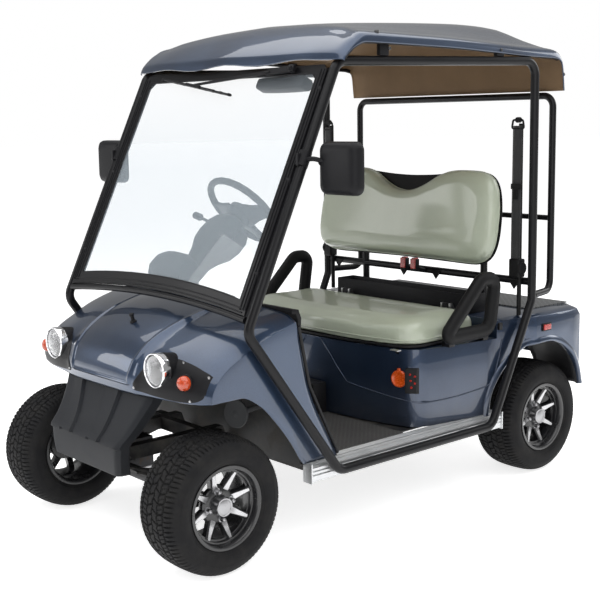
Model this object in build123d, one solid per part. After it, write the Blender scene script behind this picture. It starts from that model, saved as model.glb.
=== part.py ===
# Open two-seat golf cart: right-hand drive, beam front axle, roof on a bent-tube side frame.
# Millimetres. The front faces -Y, +X is the cart's left side and Z = 0 is the ground.
# Points are written from the front axle (Y = 0 there) and put() moves each piece to the shared frame.
import math
import os

from build123d import *

FRONT_AXLE_Y = -856.0
WHEELBASE = 1648.0

# wheels: 205/50-10 tyres on 7 inch wide rims
TYRE_R = 233.0
TYRE_HALF_W = 102.5
BEAD_R = 127.0
BEAD_HALF_W = 86.0
BEAD_GAP = 0.2
RIM_LIP_R = 141.0
RIM_WALL = 6.0
FRONT_WHEEL_X = 468.0
REAR_WHEEL_X = 478.0
WHEEL_Z = 233.0
SPOKE_COUNT = 8
HUB_R = 62.0
HUB_BORE_R = 15.0
SPINDLE_GAP = 0.05

# steering
KINGPIN_X = 345.0
KINGPIN_R = 9.0
PIN_GAP = 0.05
STEER_ARM_LEN = 120.0
TIE_ROD_Z = 180.0
TIE_ROD_R = 9.0
TIE_PIN_R = 6.0
OPEN_PIN_GAP = 0.8
PITMAN_X = -100.0
PITMAN_Y = 80.0
STEER_WHEEL_X = -270.0
STEER_WHEEL_Y = 740.0
STEER_WHEEL_Z = 1110.0
STEER_WHEEL_R = 165.0
STEER_RIM_R = 13.0
COLUMN_TILT = 40.0

# chassis rails
RAIL_X = 130.0
RAIL_W = 40.0
RAIL_LOW_Z = 325.0
RAIL_TOP = 372.0
SPRING_X = 178.0

# body tubes
TUBE_R = 17.0
LOOP_R = 14.0
BAR_R = 15.0
SILL_TUBE_X = 592.0
POST_X = 604.0
POST_Y = WHEELBASE - 135.0
LOOP_X = 560.0
LOOP_Y = WHEELBASE + 43.0
LOOP_BASE_Z = 765.0
LOOP_TOP_Z = 1557.0
PILLAR_X = 568.0
PILLAR_LOW = (102.6, 846.3)
PILLAR_TOP = (495.2, 1670.5)
LOWER_BEND = (86.0, 795.0)
SILL_FRONT_Y = 462.0
SILL_REAR_Y = WHEELBASE - 362.0
SILL_TUBE_Z = 267.0
RAIL_TOP_Z = 1688.0
SIDE_BEND = 55.0

# floor and sills
FLOOR_TOP = 300.0
FLOOR_T = 6.0
FLOOR_HALF_W = 530.0
FLOOR_FRONT_Y = 336.0
SILL_IN_X = 534.0
SILL_OUT_X = 572.0
SILL_LOW_Z = 240.0
SILL_TOP_Z = 303.0

# seat
SEAT_BASE_TOP = 606.0
SEAT_PLATE_T = 8.0
CUSHION_HALF_W = 505.0
BACK_LOW = (WHEELBASE - 256.0, 880.0)
BACK_TILT = 11.0
SHELL_BACK = 16.0

# rear body
DECK_Z = 680.0

# windscreen
GLASS_T = 5.0
GLASS_HALF_W = 546.0

# cowl outer skin: one row per station, x then (y, z) from the lip to the rear edge
COWL_WALL = 4.0
COWL_SIDE_X = 545.0
COWL_ROWS = [
    (0.0, [(-150, 590), (-152, 640), (-132, 700), (-75, 750), (30, 790), (120, 822), (220, 845),
        (315, 858)]),
    (110.0, [(-146, 590), (-148, 640), (-128, 698), (-72, 747), (32, 787), (120, 819), (220, 842),
        (315, 855)]),
    (215.0, [(-133, 588), (-135, 636), (-116, 690), (-62, 738), (36, 778), (120, 810), (220, 833),
        (315, 848)]),
    (240.0, [(-125, 586), (-124, 632), (-104, 682), (-52, 726), (40, 766), (122, 798), (220, 824),
        (315, 842)]),
    (330.0, [(-111, 578), (-112, 620), (-92, 672), (-40, 722), (50, 764), (130, 795), (220, 820),
        (315, 838)]),
    (430.0, [(-83, 572), (-84, 612), (-66, 660), (-18, 710), (60, 752), (136, 786), (222, 812),
        (315, 832)]),
    (500.0, [(-60, 574), (-60, 606), (-44, 650), (0, 698), (70, 738), (142, 774), (224, 802),
        (315, 824)]),
    (545.0, [(-40, 580), (-38, 604), (-20, 640), (20, 680), (84, 716), (150, 748), (228, 776),
        (316, 802)]),
]
COWL_SIDE_LOW = [(76, 581), (150, 545), (215, 480), (285, 390), (330, 318), (342, 303.5)]
COWL_SIDE_REAR = [(498, 303.5), (365, 576), (321, 780)]

# roof outer skin: x, then (y, z) from the front lip back, then (y from the rear axle, z) to the rear lower edge
ROOF_WALL = 5.0
ROOF_ROWS = [
    (0.0, [(452, 1672), (462, 1700), (560, 1788), (650, 1820)],
     [(-648, 1848), (-198, 1868), (7, 1864), (52, 1805), (72, 1576)]),
    (250.0, [(456, 1672), (466, 1699), (560, 1780), (645, 1810)],
     [(-648, 1834), (-198, 1850), (7, 1842), (52, 1788), (72, 1576)]),
    (450.0, [(463, 1673), (473, 1697), (556, 1762), (632, 1786)],
     [(-648, 1792), (-198, 1788), (7, 1776), (51, 1742), (70, 1576)]),
    (560.0, [(474, 1674), (484, 1695), (550, 1742), (612, 1760)],
     [(-648, 1750), (-198, 1746), (4, 1744), (45, 1712), (64, 1576)]),
    (598.0, [(480, 1673), (490, 1688), (545, 1728), (600, 1742)],
     [(-648, 1730), (-198, 1728), (-3, 1728), (40, 1700), (58, 1576)]),
    (607.0, [(486, 1670), (494, 1680), (548, 1716), (602, 1728)],
     [(-648, 1716), (-198, 1714), (-8, 1714), (34, 1692), (52, 1576)]),
]
ROOF_STATIONS = [
    (x, front + [(WHEELBASE + y, z) for y, z in rear]) for x, front, rear in ROOF_ROWS
]


def put(name, *solids):
    # one STEP file per piece, moved to the shared frame
    placed = [Pos(0, FRONT_AXLE_Y, 0) * solid for solid in solids]
    shape = placed[0] if len(placed) == 1 else Compound(children=placed)
    export_step(shape, os.path.join("parts", name + ".step"))


def block(x0, x1, y0, y1, z0, z1):
    return Pos((x0 + x1) / 2, (y0 + y1) / 2, (z0 + z1) / 2) * Box(x1 - x0, y1 - y0, z1 - z0)


def polygon(points):
    return Face(Wire.make_polygon([Vector(*p) for p in points], close=True))


def slab_x(points, x0, x1):
    # outline in Y, Z given thickness along X
    return extrude(polygon([(x0, y, z) for y, z in points]), amount=x1 - x0, dir=(1, 0, 0))


def slab_y(points, y0, y1):
    return extrude(polygon([(x, y0, z) for x, z in points]), amount=y1 - y0, dir=(0, 1, 0))


def slab_z(points, z0, z1):
    return extrude(polygon([(x, y, z0) for x, y in points]), amount=z1 - z0, dir=(0, 0, 1))


def bar(start, end, radius):
    a = Vector(*start)
    b = Vector(*end)
    plane = Plane(origin=a, z_dir=(b - a).normalized())
    return extrude(plane * Circle(radius), amount=(b - a).length)


def pipe(points, radius, bend):
    # straight runs joined by tangent arcs
    pts = [Vector(*p) for p in points]
    edges = []
    last = pts[0]
    for i in range(1, len(pts) - 1):
        into = (pts[i] - pts[i - 1]).normalized()
        out = (pts[i + 1] - pts[i]).normalized()
        turn = math.acos(max(-1.0, min(1.0, into.dot(out))))
        reach = bend * math.tan(turn / 2)
        first = pts[i] - into * reach
        second = pts[i] + out * reach
        inward = (out - into).normalized()
        middle = pts[i] + inward * (bend / math.cos(turn / 2) - bend)
        edges.append(Line(last, first))
        edges.append(ThreePointArc(first, middle, second))
        last = second
    edges.append(Line(last, pts[-1]))
    path = Wire([e.edge() if hasattr(e, "edge") else e for e in edges])
    start = Plane(origin=pts[0], z_dir=(pts[1] - pts[0]).normalized())
    return sweep(start * Circle(radius), path=path)


def hoop(points, radius, bend):
    # closed tube: the first point lies on a straight run, and a short sleeve closes the seam there
    first = Vector(*points[0])
    away = (first - Vector(*points[-1])).normalized()
    body = pipe(list(points) + [tuple(first - away * 12)], radius, bend)
    return body + bar(tuple(first - away * 16), tuple(first + away * 4), radius)


def ring(profile, centre, axis="X"):
    # profile of (distance along the axis, radius) pairs turned about that axis
    face = polygon([(a, r, 0) for a, r in profile])
    body = revolve(face, axis=Axis.X, revolution_arc=360)
    if axis == "Z":
        body = Rot(0, -90, 0) * body
    if axis == "Y":
        body = Rot(0, 0, 90) * body
    return Pos(*centre) * body


def shell_points(points, thickness):
    # points of the inner skin, each moved square to the outer skin
    inner = []
    for i, (y, z) in enumerate(points):
        y0, z0 = points[max(i - 1, 0)]
        y1, z1 = points[min(i + 1, len(points) - 1)]
        size = math.hypot(y1 - y0, z1 - z0)
        inner.append((y + thickness * (z1 - z0) / size, z - thickness * (y1 - y0) / size))
    return inner


def skin(rows, thickness):
    # thin shell through stations across the cart
    sections = []
    for x, points in rows:
        loop = list(points) + shell_points(points, thickness)[::-1]
        sections.append(Wire.make_polygon([Vector(x, y, z) for y, z in loop], close=True))
    return Solid.make_loft(sections, ruled=True)


def both_sides(rows):
    return [(-x, points) for x, points in rows[:0:-1]] + rows


def biggest(shape):
    return max(shape.solids(), key=lambda solid: solid.volume)


def row_at(rows, x):
    for (x0, p0), (x1, p1) in zip(rows, rows[1:]):
        if x0 <= x <= x1:
            t = (x - x0) / (x1 - x0)
            return [(a[0] + (b[0] - a[0]) * t, a[1] + (b[1] - a[1]) * t) for a, b in zip(p0, p1)]
    return rows[-1][1]


def mirror_x(solid):
    return mirror(solid, about=Plane.YZ)


def rim_and_tyre(x, y, outward):
    # wheel on an axle along X; outward is +1 on the left side and -1 on the right
    w = BEAD_HALF_W
    lip = w + RIM_WALL
    barrel = [
        (-lip, RIM_LIP_R), (-w, RIM_LIP_R), (-w, BEAD_R), (w, BEAD_R), (w, RIM_LIP_R), (lip, RIM_LIP_R),
        (lip, RIM_LIP_R - 8), (w + 1, BEAD_R - 2), (w - 6, BEAD_R - RIM_WALL),
        (-w + 6, BEAD_R - RIM_WALL), (-w - 1, BEAD_R - 2), (-lip, RIM_LIP_R - 8),
    ]
    rim = ring(barrel, (0, 0, 0))
    hub = ring([(20, HUB_BORE_R + SPINDLE_GAP), (20, HUB_R), (44, HUB_R), (52, 44), (66, 32),
        (66, 0), (58, 0),
                (58, HUB_BORE_R + SPINDLE_GAP)], (0, 0, 0))
    rim = rim + hub
    for i in range(SPOKE_COUNT):
        spoke = slab_y([(26, HUB_R - 8), (50, HUB_R - 12), (64, BEAD_R - 3), (34, BEAD_R - 3)], -9, 9)
        rim = rim + Rot(i * 360 / SPOKE_COUNT, 0, 0) * spoke
    bead = BEAD_R + BEAD_GAP
    side = w - BEAD_GAP
    tread = [
        (-side, bead), (side, bead), (side, RIM_LIP_R + 2), (96, 150), (TYRE_HALF_W, 176), (98, 200),
        (84, 222), (60, 230.5), (0, TYRE_R), (-60, 230.5), (-84, 222), (-98, 200), (-TYRE_HALF_W, 176),
        (-96, 150), (-side, RIM_LIP_R + 2),
    ]
    tyre = ring(tread, (0, 0, 0))
    turn = Rot(0, 0, 0) if outward > 0 else Rot(0, 0, 180)
    return Pos(x, y, WHEEL_Z) * (turn * rim), Pos(x, y, WHEEL_Z) * (turn * tyre)


os.makedirs("parts", exist_ok=True)

# ---------------------------------------------------------------- wheels
for code, x, y, outward in [
    ("fl", FRONT_WHEEL_X, 0.0, 1), ("fr", -FRONT_WHEEL_X, 0.0, -1),
    ("rl", REAR_WHEEL_X, WHEELBASE, 1), ("rr", -REAR_WHEEL_X, WHEELBASE, -1),
]:
    rim, tyre = rim_and_tyre(x, y, outward)
    put("rim_" + code, rim)
    put("tyre_" + code, tyre)

# ---------------------------------------------------------------- front axle and steering
AXLE_R = 26.0
EAR_T = 16.0
EYE_HALF_H = 24.0
EYE_R = 19.0
beam = bar((-KINGPIN_X + 8, 0, WHEEL_Z), (KINGPIN_X - 8, 0, WHEEL_Z), AXLE_R - 4)
for side in (-1, 1):
    eye = Pos(side * KINGPIN_X, 0, WHEEL_Z) * Cylinder(EYE_R, 2 * EYE_HALF_H)
    beam = beam + eye
for side in (-1, 1):
    beam = beam - Pos(side * KINGPIN_X, 0, WHEEL_Z) * Cylinder(KINGPIN_R + PIN_GAP, 200)
for side in (-1, 1):
    beam = beam + block(side * SPRING_X - 30, side * SPRING_X + 30, -45, 45, WHEEL_Z + 16, WHEEL_Z + 26)
put("front_axle", beam)

for name, side in (("knuckle_left", 1), ("knuckle_right", -1)):
    x = side * KINGPIN_X
    ear_low = WHEEL_Z - EYE_HALF_H - 1 - EAR_T
    ear_high = WHEEL_Z + EYE_HALF_H + 1
    knuckle = Pos(x, 0, WHEEL_Z) * Cylinder(KINGPIN_R, 2 * (EYE_HALF_H + 1 + EAR_T))
    knuckle = knuckle + Pos(x, 0, ear_low + EAR_T / 2) * Cylinder(EYE_R, EAR_T)
    knuckle = knuckle + Pos(x, 0, ear_high + EAR_T / 2) * Cylinder(EYE_R, EAR_T)
    back = sorted((x + side * 12, x + side * 40))
    web = sorted((x + side * 22, x + side * 40))
    knuckle = knuckle + block(back[0], back[1], -17, 17, ear_low, ear_low + EAR_T)
    knuckle = knuckle + block(back[0], back[1], -17, 17, ear_high, ear_high + EAR_T)
    knuckle = knuckle + block(web[0], web[1], -17, 17, ear_low, ear_high + EAR_T)
    knuckle = knuckle + bar((x + side * 38, 0, WHEEL_Z), (side * (FRONT_WHEEL_X + 52), 0, WHEEL_Z),
        HUB_BORE_R)
    arm = block(x - 11, x + 11, 6, STEER_ARM_LEN, TIE_ROD_Z + 14, TIE_ROD_Z + 26)
    boss = Pos(x, STEER_ARM_LEN, TIE_ROD_Z + 20) * Cylinder(14, 12)
    knuckle = knuckle + arm + boss
    knuckle = knuckle + Pos(x, STEER_ARM_LEN, TIE_ROD_Z + 5) * Cylinder(TIE_PIN_R, 40)
    put(name, knuckle)

rod_y = STEER_ARM_LEN
rod = bar((-KINGPIN_X, rod_y, TIE_ROD_Z), (KINGPIN_X, rod_y, TIE_ROD_Z), TIE_ROD_R)
for side in (-1, 1):
    rod = rod + Pos(side * KINGPIN_X, rod_y, TIE_ROD_Z) * Cylinder(15, 20)
tab = block(PITMAN_X - 14, PITMAN_X + 14, rod_y, rod_y + PITMAN_Y, TIE_ROD_Z - 6, TIE_ROD_Z + 6)
tab = tab + Pos(PITMAN_X, rod_y + PITMAN_Y, TIE_ROD_Z) * Cylinder(14, 12)
rod = rod + tab
rod = rod - Pos(KINGPIN_X, rod_y, TIE_ROD_Z) * Cylinder(TIE_PIN_R + PIN_GAP, 60)
rod = rod - Pos(-KINGPIN_X, rod_y, TIE_ROD_Z) * Cylinder(TIE_PIN_R + OPEN_PIN_GAP, 60)
rod = rod - Pos(PITMAN_X, rod_y + PITMAN_Y, TIE_ROD_Z) * Cylinder(TIE_PIN_R + OPEN_PIN_GAP, 60)
put("tie_rod", rod)

PITMAN_SHAFT_R = 10.0
PITMAN_Z = TIE_ROD_Z + 20.0
pitman = block(PITMAN_X - 13, PITMAN_X + 13, PITMAN_Y, PITMAN_Y + STEER_ARM_LEN, PITMAN_Z - 6,
    PITMAN_Z + 6)
pitman = pitman + Pos(PITMAN_X, PITMAN_Y, PITMAN_Z) * Cylinder(18, 12)
pitman = pitman + Pos(PITMAN_X, PITMAN_Y + STEER_ARM_LEN, PITMAN_Z) * Cylinder(14, 12)
pitman = pitman + Pos(PITMAN_X, PITMAN_Y + STEER_ARM_LEN, TIE_ROD_Z + 5) * Cylinder(TIE_PIN_R, 36)
pitman = pitman + Pos(PITMAN_X, PITMAN_Y, PITMAN_Z + 31) * Cylinder(PITMAN_SHAFT_R, 62)
put("pitman_arm", pitman)

BOX_LOW = PITMAN_Z + 14.0
gearbox = block(PITMAN_X - 42, PITMAN_X + 42, PITMAN_Y - 34, PITMAN_Y + 46, BOX_LOW, RAIL_LOW_Z)
gearbox = gearbox - Pos(PITMAN_X, PITMAN_Y, BOX_LOW) * Cylinder(PITMAN_SHAFT_R + PIN_GAP, 120)
put("steering_box", gearbox)

tilt = math.radians(COLUMN_TILT)
axis_dir = Vector(0, math.cos(tilt), math.sin(tilt))
wheel_centre = Vector(STEER_WHEEL_X, STEER_WHEEL_Y, STEER_WHEEL_Z)
wheel_plane = Plane(origin=wheel_centre, x_dir=(1, 0, 0), z_dir=axis_dir)
hub_low = wheel_centre - axis_dir * 70
column_low = Vector(STEER_WHEEL_X, 352.0, STEER_WHEEL_Z - (STEER_WHEEL_Y - 352.0) * math.tan(tilt))
wheel = wheel_plane * Torus(STEER_WHEEL_R, STEER_RIM_R)
wheel = wheel + Plane(origin=wheel_centre - axis_dir * 34, z_dir=axis_dir) * Cylinder(46, 34)
for angle in (90, 210, 330):
    spread = math.radians(angle)
    tip = wheel_plane.from_local_coords((STEER_WHEEL_R * math.cos(spread),
        STEER_WHEEL_R * math.sin(spread), 0))
    root = wheel_plane.from_local_coords((30 * math.cos(spread), 30 * math.sin(spread), -30))
    wheel = wheel + bar(tuple(root), tuple(tip), 9)
wheel = wheel + bar(tuple(wheel_centre - axis_dir * 110), tuple(wheel_centre - axis_dir * 40), 11)
put("steering_wheel", wheel)

shroud_top = wheel_centre - axis_dir * 66
column = bar(tuple(column_low), tuple(shroud_top), 44)
column = column - bar(tuple(wheel_centre - axis_dir * 116), tuple(wheel_centre), 11 + PIN_GAP)
stalk_root = wheel_centre - axis_dir * 92 + Vector(-30, 0, 0)
column = column + bar(tuple(stalk_root), tuple(stalk_root + Vector(-110, 6, 30)), 7)
put("steering_column", column)
print("steering done")

# ---------------------------------------------------------------- chassis
FLOOR_LOW = FLOOR_TOP - FLOOR_T
KICK_Y = WHEELBASE - 263.0
TAIL_Y = WHEELBASE + 242.0
RAIL_SIDE = [
    (-172, RAIL_LOW_Z), (262, RAIL_LOW_Z), (292, 243), (KICK_Y, 243), (KICK_Y + 55, RAIL_LOW_Z),
    (TAIL_Y, RAIL_LOW_Z), (TAIL_Y, RAIL_TOP), (KICK_Y + 30, RAIL_TOP), (KICK_Y - 20, FLOOR_LOW),
    (325, FLOOR_LOW), (295, RAIL_TOP), (-172, RAIL_TOP),
]
left_rail = slab_x(RAIL_SIDE, RAIL_X - RAIL_W / 2, RAIL_X + RAIL_W / 2)
rails = [left_rail, mirror_x(left_rail)]
put("chassis_rails", *rails)

# cross members: y from, y to, z from, z to, half length
CROSS_MEMBERS = [
    (-172, -136, 345, RAIL_TOP, 202), (200, 232, RAIL_LOW_Z, RAIL_TOP, RAIL_X),
    (420, 460, 243, FLOOR_LOW, 528), (WHEELBASE - 828, WHEELBASE - 788, 243, FLOOR_LOW, 528),
    (WHEELBASE - 418, WHEELBASE - 378, 243, FLOOR_LOW, 528),
    (WHEELBASE - 148, WHEELBASE - 118, RAIL_LOW_Z, RAIL_TOP, RAIL_X), (TAIL_Y - 52, TAIL_Y, 345, RAIL_TOP, 300),
]
SKIRT_TAB_X = 213.0
TOW_R = 11.0
tow_y = TAIL_Y + 22
members = []
for y0, y1, z0, z1, reach in CROSS_MEMBERS:
    member = block(-reach, reach, y0, y1, z0, z1)
    if y0 < -100:
        member = member + block(-SKIRT_TAB_X, SKIRT_TAB_X, y0 + 6, y1 - 4, 352, 360)
    if y1 == TAIL_Y:
        member = member + block(-30, 30, TAIL_Y - 10, TAIL_Y + 44, 340, 352)
        member = member - Pos(0, tow_y, 346) * Cylinder(TOW_R, 60)
    members.extend((member - left_rail - rails[1]).solids())
# spring hangers outside the rails
for y0, y1 in [(228, 262), (WHEELBASE - 250, WHEELBASE - 212)]:
    for side in (-1, 1):
        x0, x1 = sorted((side * (RAIL_X + RAIL_W / 2), side * 202))
        members.append(block(x0, x1, y0, y1, 345, RAIL_TOP))
put("chassis_cross", *members)

springs = []
for y_axle, front, rear in [(0.0, -155.0, 246.0), (WHEELBASE, -230.0, 208.0)]:
    for side in (-1, 1):
        leaf_low = WHEEL_Z + 26.0
        leaves = None
        for share, lift in [(1.0, 16.0), (0.72, 8.0), (0.45, 0.0)]:
            ends = [front * share, front * share / 2, -30.0, 30.0, rear * share / 2, rear * share]
            rise = [44 * share ** 2, 14 * share ** 2, 0.0, 0.0, 14 * share ** 2, 44 * share ** 2]
            low = [(y_axle + y, leaf_low + lift + r) for y, r in zip(ends, rise)]
            high = [(y, z + 8) for y, z in low][::-1]
            leaf = slab_x(low + high, side * SPRING_X - 24, side * SPRING_X + 24)
            leaves = leaf if leaves is None else leaves + leaf
        for end in (front, rear):
            eye_z = leaf_low + 16 + 44 + 13
            start = (side * SPRING_X - 24, y_axle + end, eye_z)
            stop = (side * SPRING_X + 24, y_axle + end, eye_z)
            leaves = leaves + bar(start, stop, 13)
        springs.append(leaves)
put("leaf_springs", *springs)

shaft_reach = REAR_WHEEL_X + 52
axle_half = [(0, 86), (40, 78), (62, 58), (80, 32), (90, AXLE_R), (318, AXLE_R), (320, 92),
    (368, 92), (370, HUB_BORE_R), (shaft_reach, HUB_BORE_R)]
profile = [(-x, r) for x, r in axle_half[:0:-1]] + axle_half
rear_axle = ring([(-shaft_reach, 0)] + profile + [(shaft_reach, 0)], (0, WHEELBASE, WHEEL_Z))
for side in (-1, 1):
    pad_x = side * SPRING_X
    rear_axle = rear_axle + block(pad_x - 30, pad_x + 30, WHEELBASE - 42, WHEELBASE + 42,
        WHEEL_Z + 10, WHEEL_Z + 26)
put("rear_axle", rear_axle)
motor_z = WHEEL_Z + 14
motor = bar((-22, WHEELBASE - 86.3, motor_z), (-22, WHEELBASE - 290, motor_z), 76)
put("drive_motor", motor)
put("battery_pack", block(-400, 400, WHEELBASE - 708, WHEELBASE - 358, FLOOR_TOP + 0.3, 560))
print("chassis done")

# ---------------------------------------------------------------- floor and sills
WALL_TOP = 645.0
SEAT_WALL_Y = WHEELBASE - 778.0
floor = block(-FLOOR_HALF_W, FLOOR_HALF_W, FLOOR_FRONT_Y, SEAT_WALL_Y, FLOOR_LOW, FLOOR_TOP)
floor = floor + block(-FLOOR_HALF_W, FLOOR_HALF_W, FLOOR_FRONT_Y, FLOOR_FRONT_Y + 4, FLOOR_LOW, WALL_TOP)
floor = floor + block(-478, 478, SEAT_WALL_Y, WHEELBASE - 303, FLOOR_LOW, FLOOR_TOP)
put("floor_pan", floor)
MAT_T = 5.0
put("floor_mat", block(-508, 508, FLOOR_FRONT_Y + 8, SEAT_WALL_Y + 2, FLOOR_TOP, FLOOR_TOP + MAT_T))
sills = []
for side in (-1, 1):
    profile = [
        (SILL_IN_X, SILL_LOW_Z), (SILL_OUT_X, SILL_LOW_Z), (SILL_OUT_X, SILL_TOP_Z - 8),
        (SILL_OUT_X - 8, SILL_TOP_Z), (SILL_IN_X - 24, SILL_TOP_Z), (SILL_IN_X - 24, FLOOR_TOP),
        (SILL_IN_X, FLOOR_TOP),
    ]
    sill = slab_y([(side * x, z) for x, z in profile], 356, WHEELBASE - 278)
    x0, x1 = sorted((side * (SILL_OUT_X - 1), side * (SILL_TUBE_X - TUBE_R - 0.4)))
    for y in (620, WHEELBASE - 508):
        sill = sill + block(x0, x1, y - 25, y + 25, 254, 280)
    sills.append(sill)
put("sills", *sills)

# ---------------------------------------------------------------- side frames, rear loop
low_y, low_z = LOWER_BEND
top_y, top_z = PILLAR_TOP
for name, side in (("side_frame_left", 1), ("side_frame_right", -1)):
    front_top = Vector(PILLAR_X - 2, top_y, top_z - 4)
    rear_top = Vector(POST_X, POST_Y, RAIL_TOP_Z)
    mid = tuple(front_top + (rear_top - front_top) * 0.4)
    run = [
        mid, tuple(front_top), (PILLAR_X + 2, low_y, low_z), (SILL_TUBE_X, SILL_FRONT_Y, SILL_TUBE_Z),
        (SILL_TUBE_X, SILL_REAR_Y, SILL_TUBE_Z), (POST_X, POST_Y, 747), tuple(rear_top),
    ]
    run = [(side * x, y, z) for x, y, z in run]
    put(name, hoop(run, TUBE_R, SIDE_BEND))

foot_x = POST_X - 4
loop = pipe([
    (foot_x, POST_Y + TUBE_R, LOOP_BASE_Z), (LOOP_X, LOOP_Y, LOOP_BASE_Z), (LOOP_X, LOOP_Y, LOOP_TOP_Z),
    (-LOOP_X, LOOP_Y, LOOP_TOP_Z), (-LOOP_X, LOOP_Y, LOOP_BASE_Z),
    (-foot_x, POST_Y + TUBE_R, LOOP_BASE_Z),
], LOOP_R, 45)
loop = loop + bar((-LOOP_X, LOOP_Y, 1062), (LOOP_X, LOOP_Y, 1062), 11)
put("rear_frame", loop)
BAR_Z = 818.0
BAR_Y = POST_Y + 9.0
UPRIGHT_X = 350.0
STUB_R = 10.0
back_lean = math.tan(math.radians(BACK_TILT))
seat_bar = bar((TUBE_R - POST_X, BAR_Y, BAR_Z), (POST_X - TUBE_R, BAR_Y, BAR_Z), BAR_R)
for side in (-1, 1):
    seat_bar = seat_bar + bar((side * UPRIGHT_X, BAR_Y, DECK_Z), (side * UPRIGHT_X, BAR_Y, 1110), 15)
    for z in (935.0, 1080.0):
        shell_y = BACK_LOW[0] + (z - BACK_LOW[1]) * back_lean + SHELL_BACK / math.cos(math.radians(BACK_TILT))
        stub_end = shell_y + STUB_R * back_lean + 0.3
        seat_bar = seat_bar + bar((side * UPRIGHT_X, BAR_Y, z), (side * UPRIGHT_X, stub_end, z), STUB_R)
put("seat_support", seat_bar)
print("tubes done")

# ---------------------------------------------------------------- cowl
HEAD_X = 331.0
HEAD_Y = -111.0
HEAD_Z = 670.0
HEAD_R = 68.0
POD_R = 76.0
TURN_R = 26.0
TURN_PLACE = (424.0, 8.0, 640.0)
cowl = skin(both_sides(COWL_ROWS), COWL_WALL)
for side in (-1, 1):
    cowl = cowl - bar((side * HEAD_X, -200, HEAD_Z), (side * HEAD_X, -66, HEAD_Z), POD_R + 0.5)
    cowl = cowl - bar((side * TURN_PLACE[0], -200, TURN_PLACE[2]),
        (side * TURN_PLACE[0], -66, TURN_PLACE[2]), TURN_R + 0.5)
top_edge = COWL_ROWS[-1][1]
side_outline = top_edge + COWL_SIDE_REAR[::-1] + COWL_SIDE_LOW[::-1]
for side in (-1, 1):
    x0, x1 = sorted((side * COWL_SIDE_X, side * (COWL_SIDE_X - COWL_WALL)))
    cowl = cowl + slab_x(side_outline, x0, x1)
put("front_cowl", cowl)

trim = []
TRIM_R = 6.0
for side in (-1, 1):
    x = side * (COWL_SIDE_X - COWL_WALL / 2)
    rear = COWL_SIDE_REAR
    run = [(x, rear[0][0] + 3, rear[0][1] + 10), (x, rear[1][0] + 7.5, rear[1][1]),
        (x, rear[2][0] + 7.5, rear[2][1] + 6)]
    trim.append(pipe(run, TRIM_R, 30))
put("cowl_trim", *trim)

dash_outline = [
    (320, 842), (350, 838), (362, 806), (352, 690), (340, 645),
    (330, 645), (340, 700), (346, 800), (338, 824), (320, 826),
]
dash = slab_x(dash_outline, -520, 520)
binnacle_outline = [(352, 840), (352, 700), (392, 720), (440, 850), (420, 893), (376, 905)]
dash = dash + slab_x(binnacle_outline, STEER_WHEEL_X - 95, STEER_WHEEL_X + 95)
dash = dash - bar(tuple(column_low - axis_dir * 60), tuple(wheel_centre), 44.5)
put("dash_panel", dash)

SKIRT_WALL = 4.0
SKIRT_STEP_Z = 366.0
skirt_high = [(-205, -96), (-200, -136), (-110, -150), (0, -154), (110, -150), (200, -136), (205, -96)]
skirt_low = [(-226, -92), (-222, -190), (-120, -208), (0, -214), (120, -208), (222, -190), (226, -92)]


def inset(points, amount):
    return [(x * (1 - amount / 215), y + (0 if y > -100 else amount)) for x, y in points]


def u_section(points, z):
    loop_points = points + inset(points, SKIRT_WALL)[::-1]
    return Wire.make_polygon([Vector(x, y, z) for x, y in loop_points], close=True)


skirt = Solid.make_loft([u_section(skirt_low, SKIRT_STEP_Z), u_section(skirt_high, 574)], ruled=True)
step_top = inset(skirt_low, 3)
step_low = inset(skirt_low, 12)
skirt = skirt + Solid.make_loft([u_section(step_low, 308), u_section(step_top, SKIRT_STEP_Z)], ruled=True)
for x in (-112, 0, 112):
    rib = slab_x([(-206, SKIRT_STEP_Z), (-217, SKIRT_STEP_Z), (-158, 572), (-148, 572)], x - 8, x + 8)
    skirt = skirt + rib
put("front_skirt", skirt)
print("front body done")

# ---------------------------------------------------------------- lamps
pods = []
lamps = []
turns = []
for side in (-1, 1):
    rows = []
    for x in (196.0, 250.0, 330.0, 430.0, 500.0, 540.0):
        pts = row_at(COWL_ROWS, x)
        low, mid, high = pts[:3]
        outer = [(y - 7, z) for y, z in (low, mid, high)]
        inner = [(y - 1, z) for y, z in (low, mid, high)]
        rows.append((side * x, outer + inner[::-1]))
    wires = [Wire.make_polygon([Vector(x, y, z) for y, z in pts], close=True) for x, pts in rows]
    plate = Solid.make_loft(wires, ruled=True)
    pod_cut = bar((side * HEAD_X, -200, HEAD_Z), (side * HEAD_X, HEAD_Y + 1, HEAD_Z), HEAD_R + 0.5)
    turn_cut = bar((side * TURN_PLACE[0], -200, TURN_PLACE[2]),
        (side * TURN_PLACE[0], -60, TURN_PLACE[2]), TURN_R + 0.3)
    pod = ring([(HEAD_Y + 1, 0), (HEAD_Y + 1, HEAD_R - 2), (-88, POD_R), (-68, POD_R), (-68, 0)],
               (side * HEAD_X, 0, HEAD_Z), "Y")
    pods.append(biggest((plate - pod_cut + pod) - turn_cut - cowl))
    lamps.append(ring([
        (HEAD_Y - 14, 0), (HEAD_Y - 12, 50), (HEAD_Y - 8, HEAD_R - 6), (HEAD_Y - 12, HEAD_R - 3),
        (HEAD_Y - 6, HEAD_R), (HEAD_Y + 0.5, HEAD_R), (HEAD_Y + 0.5, 0),
    ], (side * HEAD_X, 0, HEAD_Z), "Y"))
    turns.append(ring([(-112, 0), (-109, 18), (-98, 26), (-90, 26), (-90, 0)],
        (side * TURN_PLACE[0], TURN_PLACE[1], TURN_PLACE[2]), "Y"))
put("lamp_pods", *pods)
put("headlamps", *lamps)

# ---------------------------------------------------------------- rear body
BODY_WALL = 4.0
BODY_LOW = 305.0
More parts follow.
